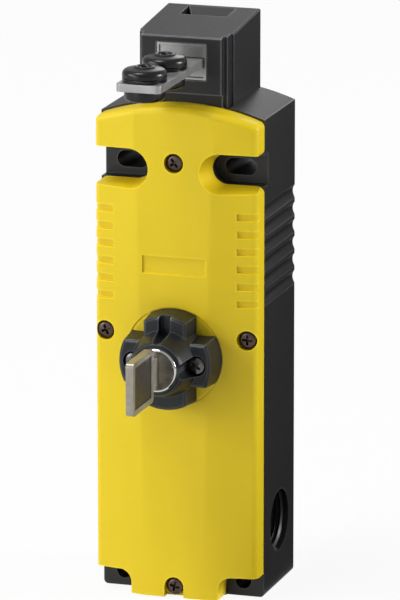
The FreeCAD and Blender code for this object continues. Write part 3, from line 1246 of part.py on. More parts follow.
def release_slide():
    """Steel strip driven down by the pin; its fork straddles the bolt above the crosshead."""
    top = FORK_BASE + FORK_HEIGHT
    strip = box(-SLIDE_HALF, SLIDE_HALF, SLIDE_FRONT, SLIDE_BACK, SLIDE_BASE, top)
    fork_back = WHEEL_Y + BOLT_DIAMETER / 2 + FORK_CLEARANCE
    fork = box(-SLIDE_HALF, SLIDE_HALF, SLIDE_FRONT, fork_back, FORK_BASE, top)
    throat = BOLT_DIAMETER / 2 + FORK_CLEARANCE
    notch = box(-throat, throat, WHEEL_Y, fork_back + 1, FORK_BASE - 1, top + 1)
    round_end = rod(throat, (0, WHEEL_Y, FORK_BASE - 1), (0, WHEEL_Y, top + 1))
    room = PIN_RADIUS + PIN_PLAY
    slot_z = (LOCK_HEIGHT - room, LOCK_HEIGHT + room)
    slot = box(-room, PIN_ORBIT + room, SLIDE_FRONT - 1, SLIDE_BACK + 1, *slot_z)
    widen = PIN_ORBIT + room + SLIDE_EAR
    ear_z = (slot_z[0] - SLIDE_EAR_HEIGHT, slot_z[1] + SLIDE_EAR_HEIGHT)
    ear = box(-widen, widen, SLIDE_FRONT, SLIDE_BACK, *ear_z)
    return cut(fuse(strip, fork, ear), notch, round_end, slot)


def key():
    """Flat key: bow with a raised rim on both faces, neck, and a blade with its cuts."""
    z = LOCK_HEIGHT
    half, bow_half = KEY_THICKNESS / 2, KEY_BOW_THICKNESS / 2
    neck_end = PLUG_FRONT - KEY_NECK
    bow_end = neck_end - KEY_BOW_LENGTH
    rise = KEY_BOW_HEIGHT / 2
    bow = box(-bow_half, bow_half, bow_end, neck_end, z - rise, z + rise)
    corners = edges_where(bow, lambda p, e: abs(p.x) < 0.01 and abs(abs(p.z - z) - rise) < 0.01)
    bow = bow.makeFillet(KEY_BOW_CORNER, corners)
    panel_z = (z - rise + KEY_RIM, z + rise - KEY_RIM)
    for side in (-1, 1):
        face = side * bow_half
        floor = face - side * KEY_RECESS
        bow = bow.cut(box(face, floor, bow_end + KEY_RIM, neck_end - KEY_RIM, *panel_z))
    neck_half = KEY_NECK_HEIGHT / 2
    neck = box(-half, half, neck_end, PLUG_FRONT - KEY_STOP, z - neck_half, z + neck_half)
    return fuse(bow, neck, key_blade(half))


def key_blade(half):
    """Blade with a pointed tip and a row of triangular cuts of three depths along its lower edge."""
    low, high = LOCK_HEIGHT - KEY_BLADE_HEIGHT / 2, LOCK_HEIGHT + KEY_BLADE_HEIGHT / 2
    start, end = PLUG_FRONT - 1, PLUG_FRONT + KEY_BLADE_LENGTH
    outline = [(start, low), (end - KEY_TIP, low), (end, low + KEY_TIP)]
    outline += [(end, high - KEY_TIP), (end - KEY_TIP, high), (start, high)]
    blade = side_prism(outline, -half, half)
    pitch = (KEY_BLADE_LENGTH - KEY_CUTS_START - KEY_CUTS_END) / KEY_CUTS
    bites = []
    for i in range(KEY_CUTS):
        y = PLUG_FRONT + KEY_CUTS_START + pitch * i
        depth = KEY_CUT_DEPTH * KEY_CUT_SHARES[i % len(KEY_CUT_SHARES)]
        bite = [(y, low - 0.5), (y + pitch, low - 0.5), (y + pitch / 2, low + depth)]
        bites.append(side_prism(bite, -half - 1, half + 1))
    return blade.cut(bites)


def main():
    os.makedirs("parts", exist_ok=True)
    front_bush_y, rear_bush_y = bush_places()
    nodes = {
        "housing": housing(),
        "cover": cover(),
        "cover_seal": seal_band(SEAL_HEIGHT),
        "cover_screws": cover_screws(),
        "head_casing": head_casing(),
        "head_screws": head_screws(),
        "guide_plate": guide_plate(),
        "actuator_blade": actuator_blade(),
        "front_bush": bush(front_bush_y),
        "rear_bush": bush(rear_bush_y),
        "bush_sleeves": bush_sleeves(),
        "cam_wheel": cam_wheel(),
        "cam_axle": cam_axle(),
        "position_plunger": position_plunger(),
        "locking_bolt": locking_bolt(),
        "armature": armature(),
        "return_spring": return_spring(),
        "solenoid_yoke": solenoid_yoke(),
        "solenoid_bobbin": solenoid_bobbin(),
        "solenoid_winding": solenoid_winding(),
        "carrier": carrier(),
        "carrier_screws": carrier_screws(),
        "contact_block_left": contact_block(-1),
        "contact_block_right": contact_block(1),
        "supply_terminals": supply_terminals(),
        "terminal_screws": terminal_screws(),
        "earth_terminal": earth_terminal(),
        "lock_housing": lock_housing(),
        "lock_screws": lock_screws(),
        "lock_barrel": lock_barrel(),
        "lock_cylinder": lock_cylinder(),
        "retaining_clip": retaining_clip(),
        "release_cam": release_cam(),
        "release_slide": release_slide(),
        "key": key(),
    }
    for name, shape in nodes.items():
        shape.exportStep(f"parts/{name}.step")
        print(name, "solids", len(shape.Solids), "valid", shape.isValid(), "volume", round(shape.Volume, 1))


main()
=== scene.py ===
"""A safety position switch with its separate actuator, solenoid lock and key release."""

import json
import math

import bmesh
import bpy
from bpy.props import FloatProperty, FloatVectorProperty, PointerProperty
from mathutils import Matrix, Vector

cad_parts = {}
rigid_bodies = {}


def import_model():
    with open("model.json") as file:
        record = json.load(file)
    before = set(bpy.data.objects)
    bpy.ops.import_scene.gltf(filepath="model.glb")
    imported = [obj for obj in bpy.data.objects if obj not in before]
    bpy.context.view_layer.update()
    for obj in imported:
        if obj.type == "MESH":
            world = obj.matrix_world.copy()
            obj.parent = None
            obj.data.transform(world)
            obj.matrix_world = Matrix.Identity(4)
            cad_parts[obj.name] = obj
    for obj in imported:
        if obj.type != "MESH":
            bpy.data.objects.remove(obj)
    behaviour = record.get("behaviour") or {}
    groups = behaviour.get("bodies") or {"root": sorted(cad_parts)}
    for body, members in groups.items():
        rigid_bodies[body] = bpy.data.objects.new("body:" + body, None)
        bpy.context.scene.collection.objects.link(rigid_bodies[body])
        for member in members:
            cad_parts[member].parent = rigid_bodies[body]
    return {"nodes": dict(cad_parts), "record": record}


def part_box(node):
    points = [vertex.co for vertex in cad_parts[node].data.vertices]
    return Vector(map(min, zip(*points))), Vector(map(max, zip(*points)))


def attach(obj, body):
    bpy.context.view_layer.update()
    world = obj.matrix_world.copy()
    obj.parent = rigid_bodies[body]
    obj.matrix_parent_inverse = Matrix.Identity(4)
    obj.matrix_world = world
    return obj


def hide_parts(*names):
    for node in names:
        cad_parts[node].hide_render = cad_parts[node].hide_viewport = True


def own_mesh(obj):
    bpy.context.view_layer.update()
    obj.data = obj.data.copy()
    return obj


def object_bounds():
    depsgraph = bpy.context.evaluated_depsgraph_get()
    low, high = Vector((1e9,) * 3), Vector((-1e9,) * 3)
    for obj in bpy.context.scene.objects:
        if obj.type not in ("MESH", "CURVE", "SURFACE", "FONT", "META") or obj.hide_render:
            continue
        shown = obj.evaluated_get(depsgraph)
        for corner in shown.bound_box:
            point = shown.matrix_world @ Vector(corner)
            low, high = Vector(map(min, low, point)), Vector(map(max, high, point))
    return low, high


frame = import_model()
CAD_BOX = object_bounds()

bl_info = {
    "name": "Safety Position Switch",
    "version": (1, 0, 0),
    "blender": (4, 5, 0),
    "location": "3D View > Sidebar > Position Switch",
    "description": "Builds a safety position switch with its actuator, locking parts and key release",
    "category": "Object",
}

MM = 0.001
FRONT = Vector((0, -1, 0))
UP = Vector((0, 0, 1))
BODY_OF = {n: body for body, nodes in frame["record"]["behaviour"]["bodies"].items() for n in nodes}
SLOT_OF = {part["node"]: part["material_slot"] for part in frame["record"]["subparts"]}

# Sockets of a Mix node, which has a pair of inputs and an output for each kind of value.
MIX_SHARE, NUMBER_A, NUMBER_B, COLOUR_A, COLOUR_B = 0, 2, 3, 6, 7
NUMBER_OUT, COLOUR_OUT = 0, 2

# Middle and half sizes, in object coordinates, of a box round the floor of the recess in the key's bow.
KEY_RECESS = Vector((0, -78.1, 75)) * MM, Vector((0.9, 8.3, 6.8)) * MM

# The head's and the lock's edges are rounder than the housing's, and the blade's than the other metal's.
BROAD_EDGE = 1.6
BLADE_EDGE = 1.4

# The rounded rim of a pan-head screw: how far inwards and how far down from the top, in rims.
PAN_RIM = ((0, 3), (0.3, 1.6), (1.2, 0.6), (3, 0.15))

# Each lamp's name, place and size in metres, and watts.
LAMPS = (
    ("key_lamp", (-1.8, -1.25, 1.0), 1.3, 29),
    ("front_lamp", (-1.2, -2.1, 0.35), 0.9, 10),
    ("top_lamp", (-0.45, -0.4, 1.75), 0.7, 16),
    ("back_lamp", (-0.5, 3.3, 1.35), 1.0, 7),
    ("rim_lamp", (1.88, 0.4, 0.6), 0.6, 32),
)
VIEW_MIDDLE = Vector((0, -0.0163, 0.087))

# How white the floor looks, how bright the world is as a lamp, and the share of white that reflections see.
FLOOR_GLOW, FLOOR_IN_GLOSS = 0.92, 0.65
WORLD_LIGHT, WORLD_IN_GLOSS = 0.15, 0.4


def linear(hex_colour):
    """An sRGB hex colour as linear red, green and blue."""
    parts = [int(hex_colour[i:i + 2], 16) / 255 for i in (1, 3, 5)]
    return tuple(c / 12.92 if c <= 0.04045 else ((c + 0.055) / 1.055) ** 2.4 for c in parts)


def colour(name, description, hex_colour):
    """A colour that a user may change."""
    return FloatVectorProperty(
        name=name, description=description, subtype="COLOR", size=3, min=0, max=1, default=linear(hex_colour)
    )


def length(name, description, millimetres):
    """A size that a user may change."""
    return FloatProperty(
        name=name, description=description, default=millimetres * MM, min=0, subtype="DISTANCE", unit="LENGTH"
    )


class SwitchSizes(bpy.types.PropertyGroup):
    """Sizes of the rounded edges, the cable entries' threads and the screws' recesses"""

    moulded_edge: length("Moulded edge", "Rounding on the edges of the plastic mouldings", 0.3)
    metal_edge: length("Metal edge", "Rounding on the edges of punched and turned metal", 0.15)
    thread_pitch: length("Thread pitch", "Pitch of the cable entries' thread", 1.5)
    thread_depth: length("Thread depth", "Height of the cable entries' thread", 0.85)
    socket_width: length("Cross recess width", "Width across the cross recess in a screw head", 3.3)
    socket_wing: length("Cross recess wing", "Thickness of one wing of the cross recess", 0.8)
    socket_depth: length("Cross recess depth", "Depth of the cross recess", 1.9)


class SwitchColours(bpy.types.PropertyGroup):
    """Colours of the visible parts"""

    cover: colour("Cover", "Yellow of the moulded cover", "#E2C61E")
    housing: colour("Housing", "Black of the housing", "#181819")
    head: colour("Head", "Black of the actuator head", "#1B1B1D")
    lock: colour("Lock housing", "Black of the key lock's housing", "#17191B")
    rubber: colour("Rubber", "Black of the actuator's bushes", "#0D0D0E")
    steel: colour("Steel", "Rolled stainless steel of the actuator", "#A2A3A2")
    guide: colour("Guide plate", "Pressed steel of the guide plate", "#9C9C9A")
    screw: colour("Cover screws", "Dark plated steel of the cover screws", "#544843")
    nickel: colour("Key", "Nickel plating of the key and cylinder", "#8E897F")


def node(tree, kind, links=None, stops=(), **settings):
    """Adds a shader node.

    Links maps its inputs to other nodes' outputs or to plain values. Stops are a colour ramp's places and
    colours.
    """
    new = tree.nodes.new(kind)
    for key, value in settings.items():
        setattr(new, key, value)
    for i, (place, tone) in enumerate(stops):
        new.color_ramp.elements[i].position = place
        new.color_ramp.elements[i].color = tone
    for socket, value in (links or {}).items():
        if isinstance(value, bpy.types.NodeSocket):
            tree.links.new(value, new.inputs[socket])
        else:
            new.inputs[socket].default_value = value
    return new


def new_material(name):
    """An empty material and its tree with a shader, an output and object coordinates."""
    material = bpy.data.materials.new(name)
    material.use_nodes = True
    tree = material.node_tree
    tree.nodes.clear()
    shader = node(tree, "ShaderNodeBsdfPrincipled")
    output = node(tree, "ShaderNodeOutputMaterial")
    tree.links.new(shader.outputs["BSDF"], output.inputs["Surface"])
    place = node(tree, "ShaderNodeTexCoord").outputs["Object"]
    return material, tree, shader, place


def shade(rgb, factor):
    """A colour made darker or lighter, with alpha."""
    return tuple(min(1.0, c * factor) for c in rgb) + (1.0,)


def between(low, high):
    """A colour ramp's stops, from one colour or grey to another over the middle of a pattern's range."""
    return [
        (place, tone if isinstance(tone, tuple) else (tone, tone, tone, 1))
        for place, tone in ((0.3, low), (0.7, high))
    ]


def painted_highlight_edges(tree):
    """1 on convex and concave edges and 0 on the faces: where a painted highlight lightens the colour and the
    gloss rises.
    """
    starts, full = 0.99, 0.85
    rounded = node(tree, "ShaderNodeBevel", {"Radius": 0.8 * MM}, samples=4)
    flat = node(tree, "ShaderNodeNewGeometry")
    turned = node(
        tree, "ShaderNodeVectorMath", {0: rounded.outputs["Normal"], 1: flat.outputs["True Normal"]},
        operation="DOT_PRODUCT",
    )
    edge = node(
        tree, "ShaderNodeMapRange", {"Value": turned.outputs["Value"], "From Min": starts, "From Max": full}
    )
    return edge.outputs["Result"]


def moulded_plastic(name, rgb, roughness, grain=0.12, cloud=0.05, specular=0.3, painted_edge_highlight=0.0):
    """Injection-moulded thermoplastic from an eroded mould: an even grain, a satin gloss and flow clouds.

    The real grain is about 0.1 mm, and is drawn coarser so that it shows. The painted edge highlight is how
    much lighter the edges are painted than the faces, standing in for the light they catch, and they are
    glossier too.
    """
    grain_size, cloud_size, edge_roughness = 0.35 * MM, 22 * MM, 0.25
    material, tree, shader, place = new_material(name)
    clouds = node(tree, "ShaderNodeTexNoise", {"Vector": place, "Scale": 1 / cloud_size, "Detail": 3.0})
    tint = node(
        tree, "ShaderNodeValToRGB", {"Fac": clouds.outputs["Fac"]},
        stops=between(shade(rgb, 1 - cloud), shade(rgb, 1 + cloud)),
    ).outputs["Color"]
    pits = node(tree, "ShaderNodeTexNoise", {"Vector": place, "Scale": 1 / grain_size, "Detail": 2.0})
    gloss = node(
        tree, "ShaderNodeValToRGB", {"Fac": pits.outputs["Fac"]},
        stops=between(roughness - 0.06, roughness + 0.08),
    ).outputs["Color"]
    if painted_edge_highlight:
        # Painted highlight: the edges' colour is lightened to stand in for the light caught on the rounded
        # edges.
        edge = painted_highlight_edges(tree)
        tint = node(
            tree, "ShaderNodeMix", {MIX_SHARE: edge, COLOUR_A: tint, COLOUR_B: shade(rgb, 1 + painted_edge_highlight)},
            data_type="RGBA",
        ).outputs[COLOUR_OUT]
        gloss = node(
            tree, "ShaderNodeMix", {MIX_SHARE: edge, NUMBER_A: gloss, NUMBER_B: edge_roughness}
        ).outputs[NUMBER_OUT]
    bump = node(
        tree, "ShaderNodeBump", {"Height": pits.outputs["Fac"], "Strength": grain, "Distance": 0.05 * MM}
    )
    tree.links.new(tint, shader.inputs["Base Color"])
    tree.links.new(gloss, shader.inputs["Roughness"])
    tree.links.new(bump.outputs["Normal"], shader.inputs["Normal"])
    shader.inputs["IOR"].default_value = 1.5
    shader.inputs["Specular IOR Level"].default_value = specular
    return material


def rolled_steel(name, rgb, roughness, along=(1, 1, 1), metallic=1.0):
    """Rolled or drawn steel: fine lines along the rolling direction, slightly uneven grey, satin gloss.

    The real lines are finer, and are drawn a quarter of a millimetre apart so that they show.
    """
    line_size, patch_size, patchy = 0.25 * MM, 6 * MM, 0.12
    material, tree, shader, place = new_material(name)
    stretch = node(tree, "ShaderNodeMapping", {"Vector": place, "Scale": along})
    lines = node(
        tree, "ShaderNodeTexNoise",
        {"Vector": stretch.outputs["Vector"], "Scale": 1 / line_size, "Detail": 3.0},
    )
    patches = node(tree, "ShaderNodeTexNoise", {"Vector": place, "Scale": 1 / patch_size, "Detail": 4.0})
    tint = node(
        tree, "ShaderNodeValToRGB", {"Fac": patches.outputs["Fac"]},
        stops=between(shade(rgb, 1 - patchy), shade(rgb, 1 + patchy)),
    )
    gloss = node(
        tree, "ShaderNodeValToRGB", {"Fac": lines.outputs["Fac"]},
        stops=between(roughness - 0.07, roughness + 0.1),
    )
    bump = node(
        tree, "ShaderNodeBump", {"Height": lines.outputs["Fac"], "Strength": 0.15, "Distance": 0.02 * MM}
    )
    tree.links.new(tint.outputs["Color"], shader.inputs["Base Color"])
    tree.links.new(gloss.outputs["Color"], shader.inputs["Roughness"])
    tree.links.new(bump.outputs["Normal"], shader.inputs["Normal"])
    shader.inputs["Metallic"].default_value = metallic
    return material


def plated_metal(name, rgb, roughness, stain=0.1, metallic=1.0):
    """Plated or polished metal: nearly smooth, with faint stains that break up its reflections."""
    stain_size, least_roughness = 3 * MM, 0.03
    material, tree, shader, place = new_material(name)
    stains = node(tree, "ShaderNodeTexNoise", {"Vector": place, "Scale": 1 / stain_size, "Detail": 5.0})
    tint = node(
        tree, "ShaderNodeValToRGB", {"Fac": stains.outputs["Fac"]},
        stops=between(shade(rgb, 1 - stain), shade(rgb, 1 + stain)),
    )
    gloss = node(
        tree, "ShaderNodeValToRGB", {"Fac": stains.outputs["Fac"]},
        stops=between(max(least_roughness, roughness - 0.05), roughness + 0.08),
    )
    tree.links.new(tint.outputs["Color"], shader.inputs["Base Color"])
    tree.links.new(gloss.outputs["Color"], shader.inputs["Roughness"])
    shader.inputs["Metallic"].default_value = metallic
    return material


def recessed_key_metal(name, rgb, roughness, middle, half):
    """Nickel-plated key: the rim is bright, and the recess on each side of the bow is painted dark as shade.

    The recess's floor lies inside a box with the given middle and half sizes, in object coordinates.
    """
    recess_shade, fade = 0.2, 1.15
    material = plated_metal(name, rgb, roughness, 0.15, metallic=0.55)
    tree = material.node_tree
    shader = next(n for n in tree.nodes if n.type == "BSDF_PRINCIPLED")
    bare = shader.inputs["Base Color"].links[0].from_socket
    place = node(tree, "ShaderNodeTexCoord").outputs["Object"]
    away = node(tree, "ShaderNodeVectorMath", {0: place, 1: middle}, operation="SUBTRACT").outputs[0]
    share = node(tree, "ShaderNodeVectorMath", {0: away, 1: half}, operation="DIVIDE").outputs[0]
    size = node(tree, "ShaderNodeVectorMath", {0: share}, operation="ABSOLUTE").outputs[0]
    parts = node(tree, "ShaderNodeSeparateXYZ", {"Vector": size}).outputs
    most = node(tree, "ShaderNodeMath", {0: parts["X"], 1: parts["Y"]}, operation="MAXIMUM").outputs[0]
    most = node(tree, "ShaderNodeMath", {0: most, 1: parts["Z"]}, operation="MAXIMUM").outputs[0]
    raised = node(tree, "ShaderNodeMapRange", {"Value": most, "From Min": 1.0, "From Max": fade})
    # Painted shade: the base colour darkens to a fifth inside the recess's box.
    tint = node(
        tree, "ShaderNodeMix",
        {MIX_SHARE: raised.outputs["Result"], COLOUR_A: shade(rgb, recess_shade), COLOUR_B: bare},
        data_type="RGBA",
    )
    tree.links.new(tint.outputs[COLOUR_OUT], shader.inputs["Base Color"])
    return material


def pressed_rubber(name, rgb):
    """Moulded rubber: deep black with a dull satin gloss and a faint, cloudy bloom."""
    bloom_size = 5 * MM
    material, tree, shader, place = new_material(name)
    bloom = node(tree, "ShaderNodeTexNoise", {"Vector": place, "Scale": 1 / bloom_size, "Detail": 4.0})
    tint = node(
        tree, "ShaderNodeValToRGB", {"Fac": bloom.outputs["Fac"]},
        stops=between(shade(rgb, 0.85), shade(rgb, 1.25)),
    )
    gloss = node(tree, "ShaderNodeValToRGB", {"Fac": bloom.outputs["Fac"]}, stops=between(0.24, 0.32))
    tree.links.new(tint.outputs["Color"], shader.inputs["Base Color"])
    tree.links.new(gloss.outputs["Color"], shader.inputs["Roughness"])
    shader.inputs["IOR"].default_value = 1.52
    shader.inputs["Specular IOR Level"].default_value = 0.32
    return material


def wound_copper(name, rgb):
    """Enamelled copper wire wound in even turns, drawn much coarser than the wire so that the turns show."""
    turn = 3.14 * MM
    wave_length = math.tau / 20  # of a wave texture's bands at scale 1
    material, tree, shader, place = new_material(name)
    turns = node(
        tree, "ShaderNodeTexWave", {"Vector": place, "Scale": wave_length / turn}, bands_direction="Z"
    )
    tint = node(
        tree, "ShaderNodeValToRGB", {"Fac": turns.outputs["Fac"]},
        stops=between(shade(rgb, 0.5), shade(rgb, 1.2)),
    )
    bump = node(
        tree, "ShaderNodeBump", {"Height": turns.outputs["Fac"], "Strength": 0.6, "Distance": 0.1 * MM}
    )
    tree.links.new(tint.outputs["Color"], shader.inputs["Base Color"])
    tree.links.new(bump.outputs["Normal"], shader.inputs["Normal"])
    shader.inputs["Metallic"].default_value = 1.0
    shader.inputs["Roughness"].default_value = 0.35
    return material


def make_finishes(paint):
    """One material for each slot of the record."""
    zinc = linear("#BDBFC0")
    black = linear("#1E1F21")
    # Where a plastic has lighter edges, they are a painted highlight for the light its edges catch.
    return {
        "housing_plastic": moulded_plastic(
            "black_glass_filled_polyamide", paint.housing, 0.45, cloud=0.12, specular=0.42, painted_edge_highlight=7.0
        ),
        "cover_plastic": moulded_plastic(
            "yellow_satin_polyamide", paint.cover, 0.4, grain=0.06, cloud=0.02, specular=0.25, painted_edge_highlight=0.35
        ),
        "seal_rubber": pressed_rubber("nitrile_cord_seal", black),
        "screw_steel": plated_metal("dark_passivated_steel", paint.screw, 0.3, 0.25),
        "head_plastic": moulded_plastic(
            "black_eroded_polyamide", paint.head, 0.42, grain=0.15, cloud=0.12, specular=0.32, painted_edge_highlight=14.0
        ),
        "inner_screw_steel": plated_metal("zinc_plated_screws", zinc, 0.3),
        "guide_steel": rolled_steel("pressed_stainless_plate", paint.guide, 0.34, along=(0.2, 1, 1)),
        "blade_steel": rolled_steel(
            "rolled_stainless_strip", paint.steel, 0.34, along=(1, 0.06, 1), metallic=0.7
        ),
        "bush_rubber": pressed_rubber("black_bush_rubber", paint.rubber),
        "sleeve_steel": plated_metal("blackened_sleeve_steel", linear("#3B3A3A"), 0.38),
        "wheel_zinc": rolled_steel("die_cast_zinc", zinc, 0.42),
        "axle_steel": rolled_steel("ground_axle_steel", linear("#C2C2C0"), 0.2, along=(0.1, 1, 1)),
        "plunger_plastic": moulded_plastic("red_acetal", linear("#B3201A"), 0.3, grain=0.02),
        "bolt_steel": rolled_steel("turned_bolt_steel", linear("#B8B8B6"), 0.25, along=(1, 1, 8)),
        "armature_iron": plated_metal("plated_soft_iron", linear("#A5A6A8"), 0.3),
        "spring_steel": rolled_steel("drawn_spring_wire", linear("#C4C4C2"), 0.25),
        "yoke_steel": plated_metal("zinc_plated_sheet_steel", linear("#BFC0B8"), 0.34),
        "bobbin_plastic": moulded_plastic("natural_polyamide", linear("#DAD6C8"), 0.4),
        "winding_copper": wound_copper("enamelled_copper_wire", linear("#B0562A")),
        "carrier_plastic": moulded_plastic("grey_polycarbonate", linear("#8D9092"), 0.38),
        "block_plastic": moulded_plastic("black_thermoset", linear("#2B2C2E"), 0.45),
        "terminal_brass": plated_metal("nickel_plated_brass", linear("#C9BC94"), 0.26),
        "earth_steel": plated_metal("yellow_passivated_steel", linear("#C2A85A"), 0.32),
        "lock_plastic": moulded_plastic(
            "black_lock_polyamide", paint.lock, 0.4, grain=0.15, cloud=0.1, specular=0.32, painted_edge_highlight=8.0
        ),
        "lock_screw_steel": plated_metal("dark_screw_steel", linear("#62605E"), 0.2, 0.2),
        "lock_chrome": plated_metal("polished_chrome", linear("#C8C8C8"), 0.1, 0.05),
        "cylinder_chrome": plated_metal("satin_nickel", paint.nickel, 0.22, 0.12),
        "slide_steel": plated_metal("zinc_plated_slide_steel", zinc, 0.34),
        "key_nickel": recessed_key_metal(
            "nickel_plated_key_brass", shade(paint.nickel, 1.2)[:3], 0.34, *KEY_RECESS
        ),
    }


def finish_of(slot):
    """The material made for a slot by the finishes operator."""
    for material in bpy.data.materials:
        if material.get("slot") == slot:
            return material
    raise RuntimeError(f"no finish for {slot}: run the finishes operator first")


def facet_borders(bm, least_area=150e-6, least_angle=2):
    """Indices of the edges where two large flat facets meet at a shallow angle, which stay crisp."""
    bm.edges.index_update()
    return [
        edge.index for edge in bm.edges
        if len(edge.link_faces) == 2
        and min(face.calc_area() for face in edge.link_faces) > least_area
        and edge.calc_face_angle(0) > math.radians(least_angle)
    ]


def placed(bm, name):
    """A finished bmesh as an object in the scene."""
    mesh = bpy.data.meshes.new(name)
    bm.to_mesh(mesh)
    bm.free()
    thing = bpy.data.objects.new(name, mesh)
    bpy.context.scene.collection.objects.link(thing)
    return thing


def settle(bm, name, like, replace=True, body=None):
    """Makes a finished form a piece that rides and is coloured like a CAD node, and stands for it."""
    smooth_angle = 35
    crisp = facet_borders(bm)
    piece = placed(bm, name)
    mesh = piece.data
    mesh.shade_smooth()
    mesh.set_sharp_from_angle(angle=math.radians(smooth_angle))
    for index in crisp:
        mesh.edges[index].use_edge_sharp = True
    slot = SLOT_OF[like]
    mesh.materials.append(finish_of(slot))
    weights = piece.modifiers.new("face weights", "WEIGHTED_NORMAL")
    weights.keep_sharp = True
    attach(piece, body or BODY_OF[like])
    if replace:
        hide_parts(like)
    return piece


def merged_copy(name):
    """A CAD node's mesh as one closed surface, with flat faces made whole."""
    bm = bmesh.new()
    bm.from_mesh(frame["nodes"][name].data)
    bmesh.ops.remove_doubles(bm, verts=bm.verts, dist=0.002 * MM)
    bmesh.ops.dissolve_limit(bm, angle_limit=math.radians(0.5), verts=bm.verts, edges=bm.edges)
    return bm


def soften(bm, width, segments=2):
    """Rounds the edges between faces that meet at more than a shallow angle."""
    least = math.radians(28)
    edges = [e for e in bm.edges if len(e.link_faces) == 2 and e.calc_face_angle(0) > least]
    bmesh.ops.bevel(
        bm, geom=edges, offset=width, offset_type="OFFSET", affect="EDGES", segments=segments, profile=0.5,
        material=-1, clamp_overlap=True, loop_slide=True,
    )
    return bm


def spun(profile, place, axis, steps):
    """A closed turned form from (radius, height) points about an axis through a place."""
    bm = bmesh.new()
    verts = [bm.verts.new((r, 0, h)) for r, h in profile]
    edges = [bm.edges.new(pair) for pair in zip(verts, verts[1:])]
    if profile[0][0] and profile[-1][0]:
        edges.append(bm.edges.new((verts[-1], verts[0])))
    bmesh.ops.spin(
        bm, geom=verts + edges, cent=(0, 0, 0), axis=(0, 0, 1), dvec=(0, 0, 0), angle=math.tau, steps=steps,
        use_merge=True,
    )
    bmesh.ops.remove_doubles(bm, verts=bm.verts, dist=0.001 * MM)
    turn = UP.rotation_difference(Vector(axis)).to_matrix().to_4x4()
    bmesh.ops.transform(bm, matrix=Matrix.Translation(place) @ turn, verts=bm.verts)
    bmesh.ops.recalc_face_normals(bm, faces=bm.faces)
    return bm


def block(low, high):
    """A box between two corners."""
    low, high = Vector(low), Vector(high)
    bm = bmesh.new()
    size = Matrix.Diagonal((*(high - low), 1))
    bmesh.ops.create_cube(bm, size=1, matrix=Matrix.Translation((low + high) / 2) @ size)
    return bm


def joined(forms):
    """Several forms in one bmesh."""
    whole = bmesh.new()
    for form in forms:
        mesh = bpy.data.meshes.new("form")
        form.to_mesh(mesh)
        form.free()
        whole.from_mesh(mesh)
        bpy.data.meshes.remove(mesh)
    return whole


def carve(bm, cutter):
    """The first form with the second one taken out of it."""
    body, tool = placed(bm, "form"), placed(cutter, "form")
    cut = body.modifiers.new("cut", "BOOLEAN")
    cut.operation, cut.object, cut.solver = "DIFFERENCE", tool, "EXACT"
    graph = bpy.context.evaluated_depsgraph_get()
    result = bpy.data.meshes.new_from_object(body.evaluated_get(graph))
    carved = bmesh.new()
    carved.from_mesh(result)
    for form in (body, tool):
        mesh = form.data
        bpy.data.objects.remove(form)
        bpy.data.meshes.remove(mesh)
    bpy.data.meshes.remove(result)
    return carved


def clusters(name):
    """(lowest, highest) corner of each separate solid of a CAD node, from left to right and bottom to top."""
    bm = merged_copy(name)
    left = set(bm.verts)
    found = []
    while left:
        stack, group = [left.pop()], []
        while stack:
            vert = stack.pop()
            group.append(vert.co.copy())
            for edge in vert.link_edges:
                other = edge.other_vert(vert)
                if other in left:
                    left.discard(other)
                    stack.append(other)
        low = Vector([min(co[i] for co in group) for i in range(3)])
        high = Vector([max(co[i] for co in group) for i in range(3)])
        found.append((low, high))
    bm.free()
    return sorted(found, key=lambda box: (round(box[0].x, 4), round(box[0].z, 4)))


def cross_screw(low, high, sizes, turn):
    """A pan-head screw with a cross recess, filling the box of one CAD screw whose head faces the front."""
    rim, head_height, shank, tip = 0.35 * MM, 2.2 * MM, 1.5 * MM, 0.4 * MM
    middle = (low + high) / 2
    head = (high.x - low.x) / 2
    total = high.y - low.y
    profile = [(0, 0), (shank, tip), (shank, total - head_height), (head, total - head_height)]
    profile += [(head - inwards * rim, total - down * rim) for inwards, down in PAN_RIM] + [(0, total)]
    bm = spun(profile, (middle.x, high.y, middle.z), FRONT, steps=32)
    half, wing, depth = sizes.socket_width / 2, sizes.socket_wing / 2, sizes.socket_depth
    proud, point, mouth = MM, 0.5 * wing, 1.7 * wing
    arms = []
    for quarter in (0, 1):
        arm = block((-half, -wing, -depth), (half, wing, proud))
        spin = Matrix.Rotation(quarter * math.pi / 2, 3, "Z")
        bmesh.ops.rotate(arm, verts=arm.verts, cent=(0, 0, 0), matrix=spin)
        arms.append(arm)
    well = bmesh.new()
    bmesh.ops.create_cone(well, cap_ends=True, segments=12, radius1=point, radius2=mouth, depth=depth + proud)
    bmesh.ops.translate(well, verts=well.verts, vec=(0, 0, (proud - depth) / 2))
    arms.append(well)
    aim = Matrix.Translation((middle.x, low.y, middle.z)) @ UP.rotation_difference(FRONT).to_matrix().to_4x4()
    for arm in arms:
        bmesh.ops.transform(arm, matrix=aim @ Matrix.Rotation(turn, 4, "Z"), verts=arm.verts)
        bm = carve(bm, arm)
    return bm


def cross_screws(name, sizes, first_turn, next_turn):
    """All the screws of a CAD node, each with its recess turned a little further than the last."""
    return joined([
        cross_screw(low, high, sizes, first_turn + next_turn * i)
        for i, (low, high) in enumerate(clusters(name))
    ])


class SwitchFinishes(bpy.types.Operator):
    """Makes one procedural material for each slot and gives every CAD part its own"""

    bl_idname = "position_switch.finishes"
    bl_label = "Finishes"

    def execute(self, context):
        for slot, material in make_finishes(context.scene.switch_colours).items():
            material["slot"] = slot
        for name, part in frame["nodes"].items():
            part.data.materials.clear()
            part.data.materials.append(finish_of(SLOT_OF[name]))
        return {"FINISHED"}


class SwitchEnclosure(bpy.types.Operator):
    """Housing and cover with their moulded edges rounded"""

    bl_idname = "position_switch.enclosure"
    bl_label = "Housing and Cover"

    def execute(self, context):
        width = context.scene.switch_sizes.moulded_edge
        for name in ("housing", "cover"):
            settle(soften(merged_copy(name), width), name + "_moulding", name)
        return {"FINISHED"}


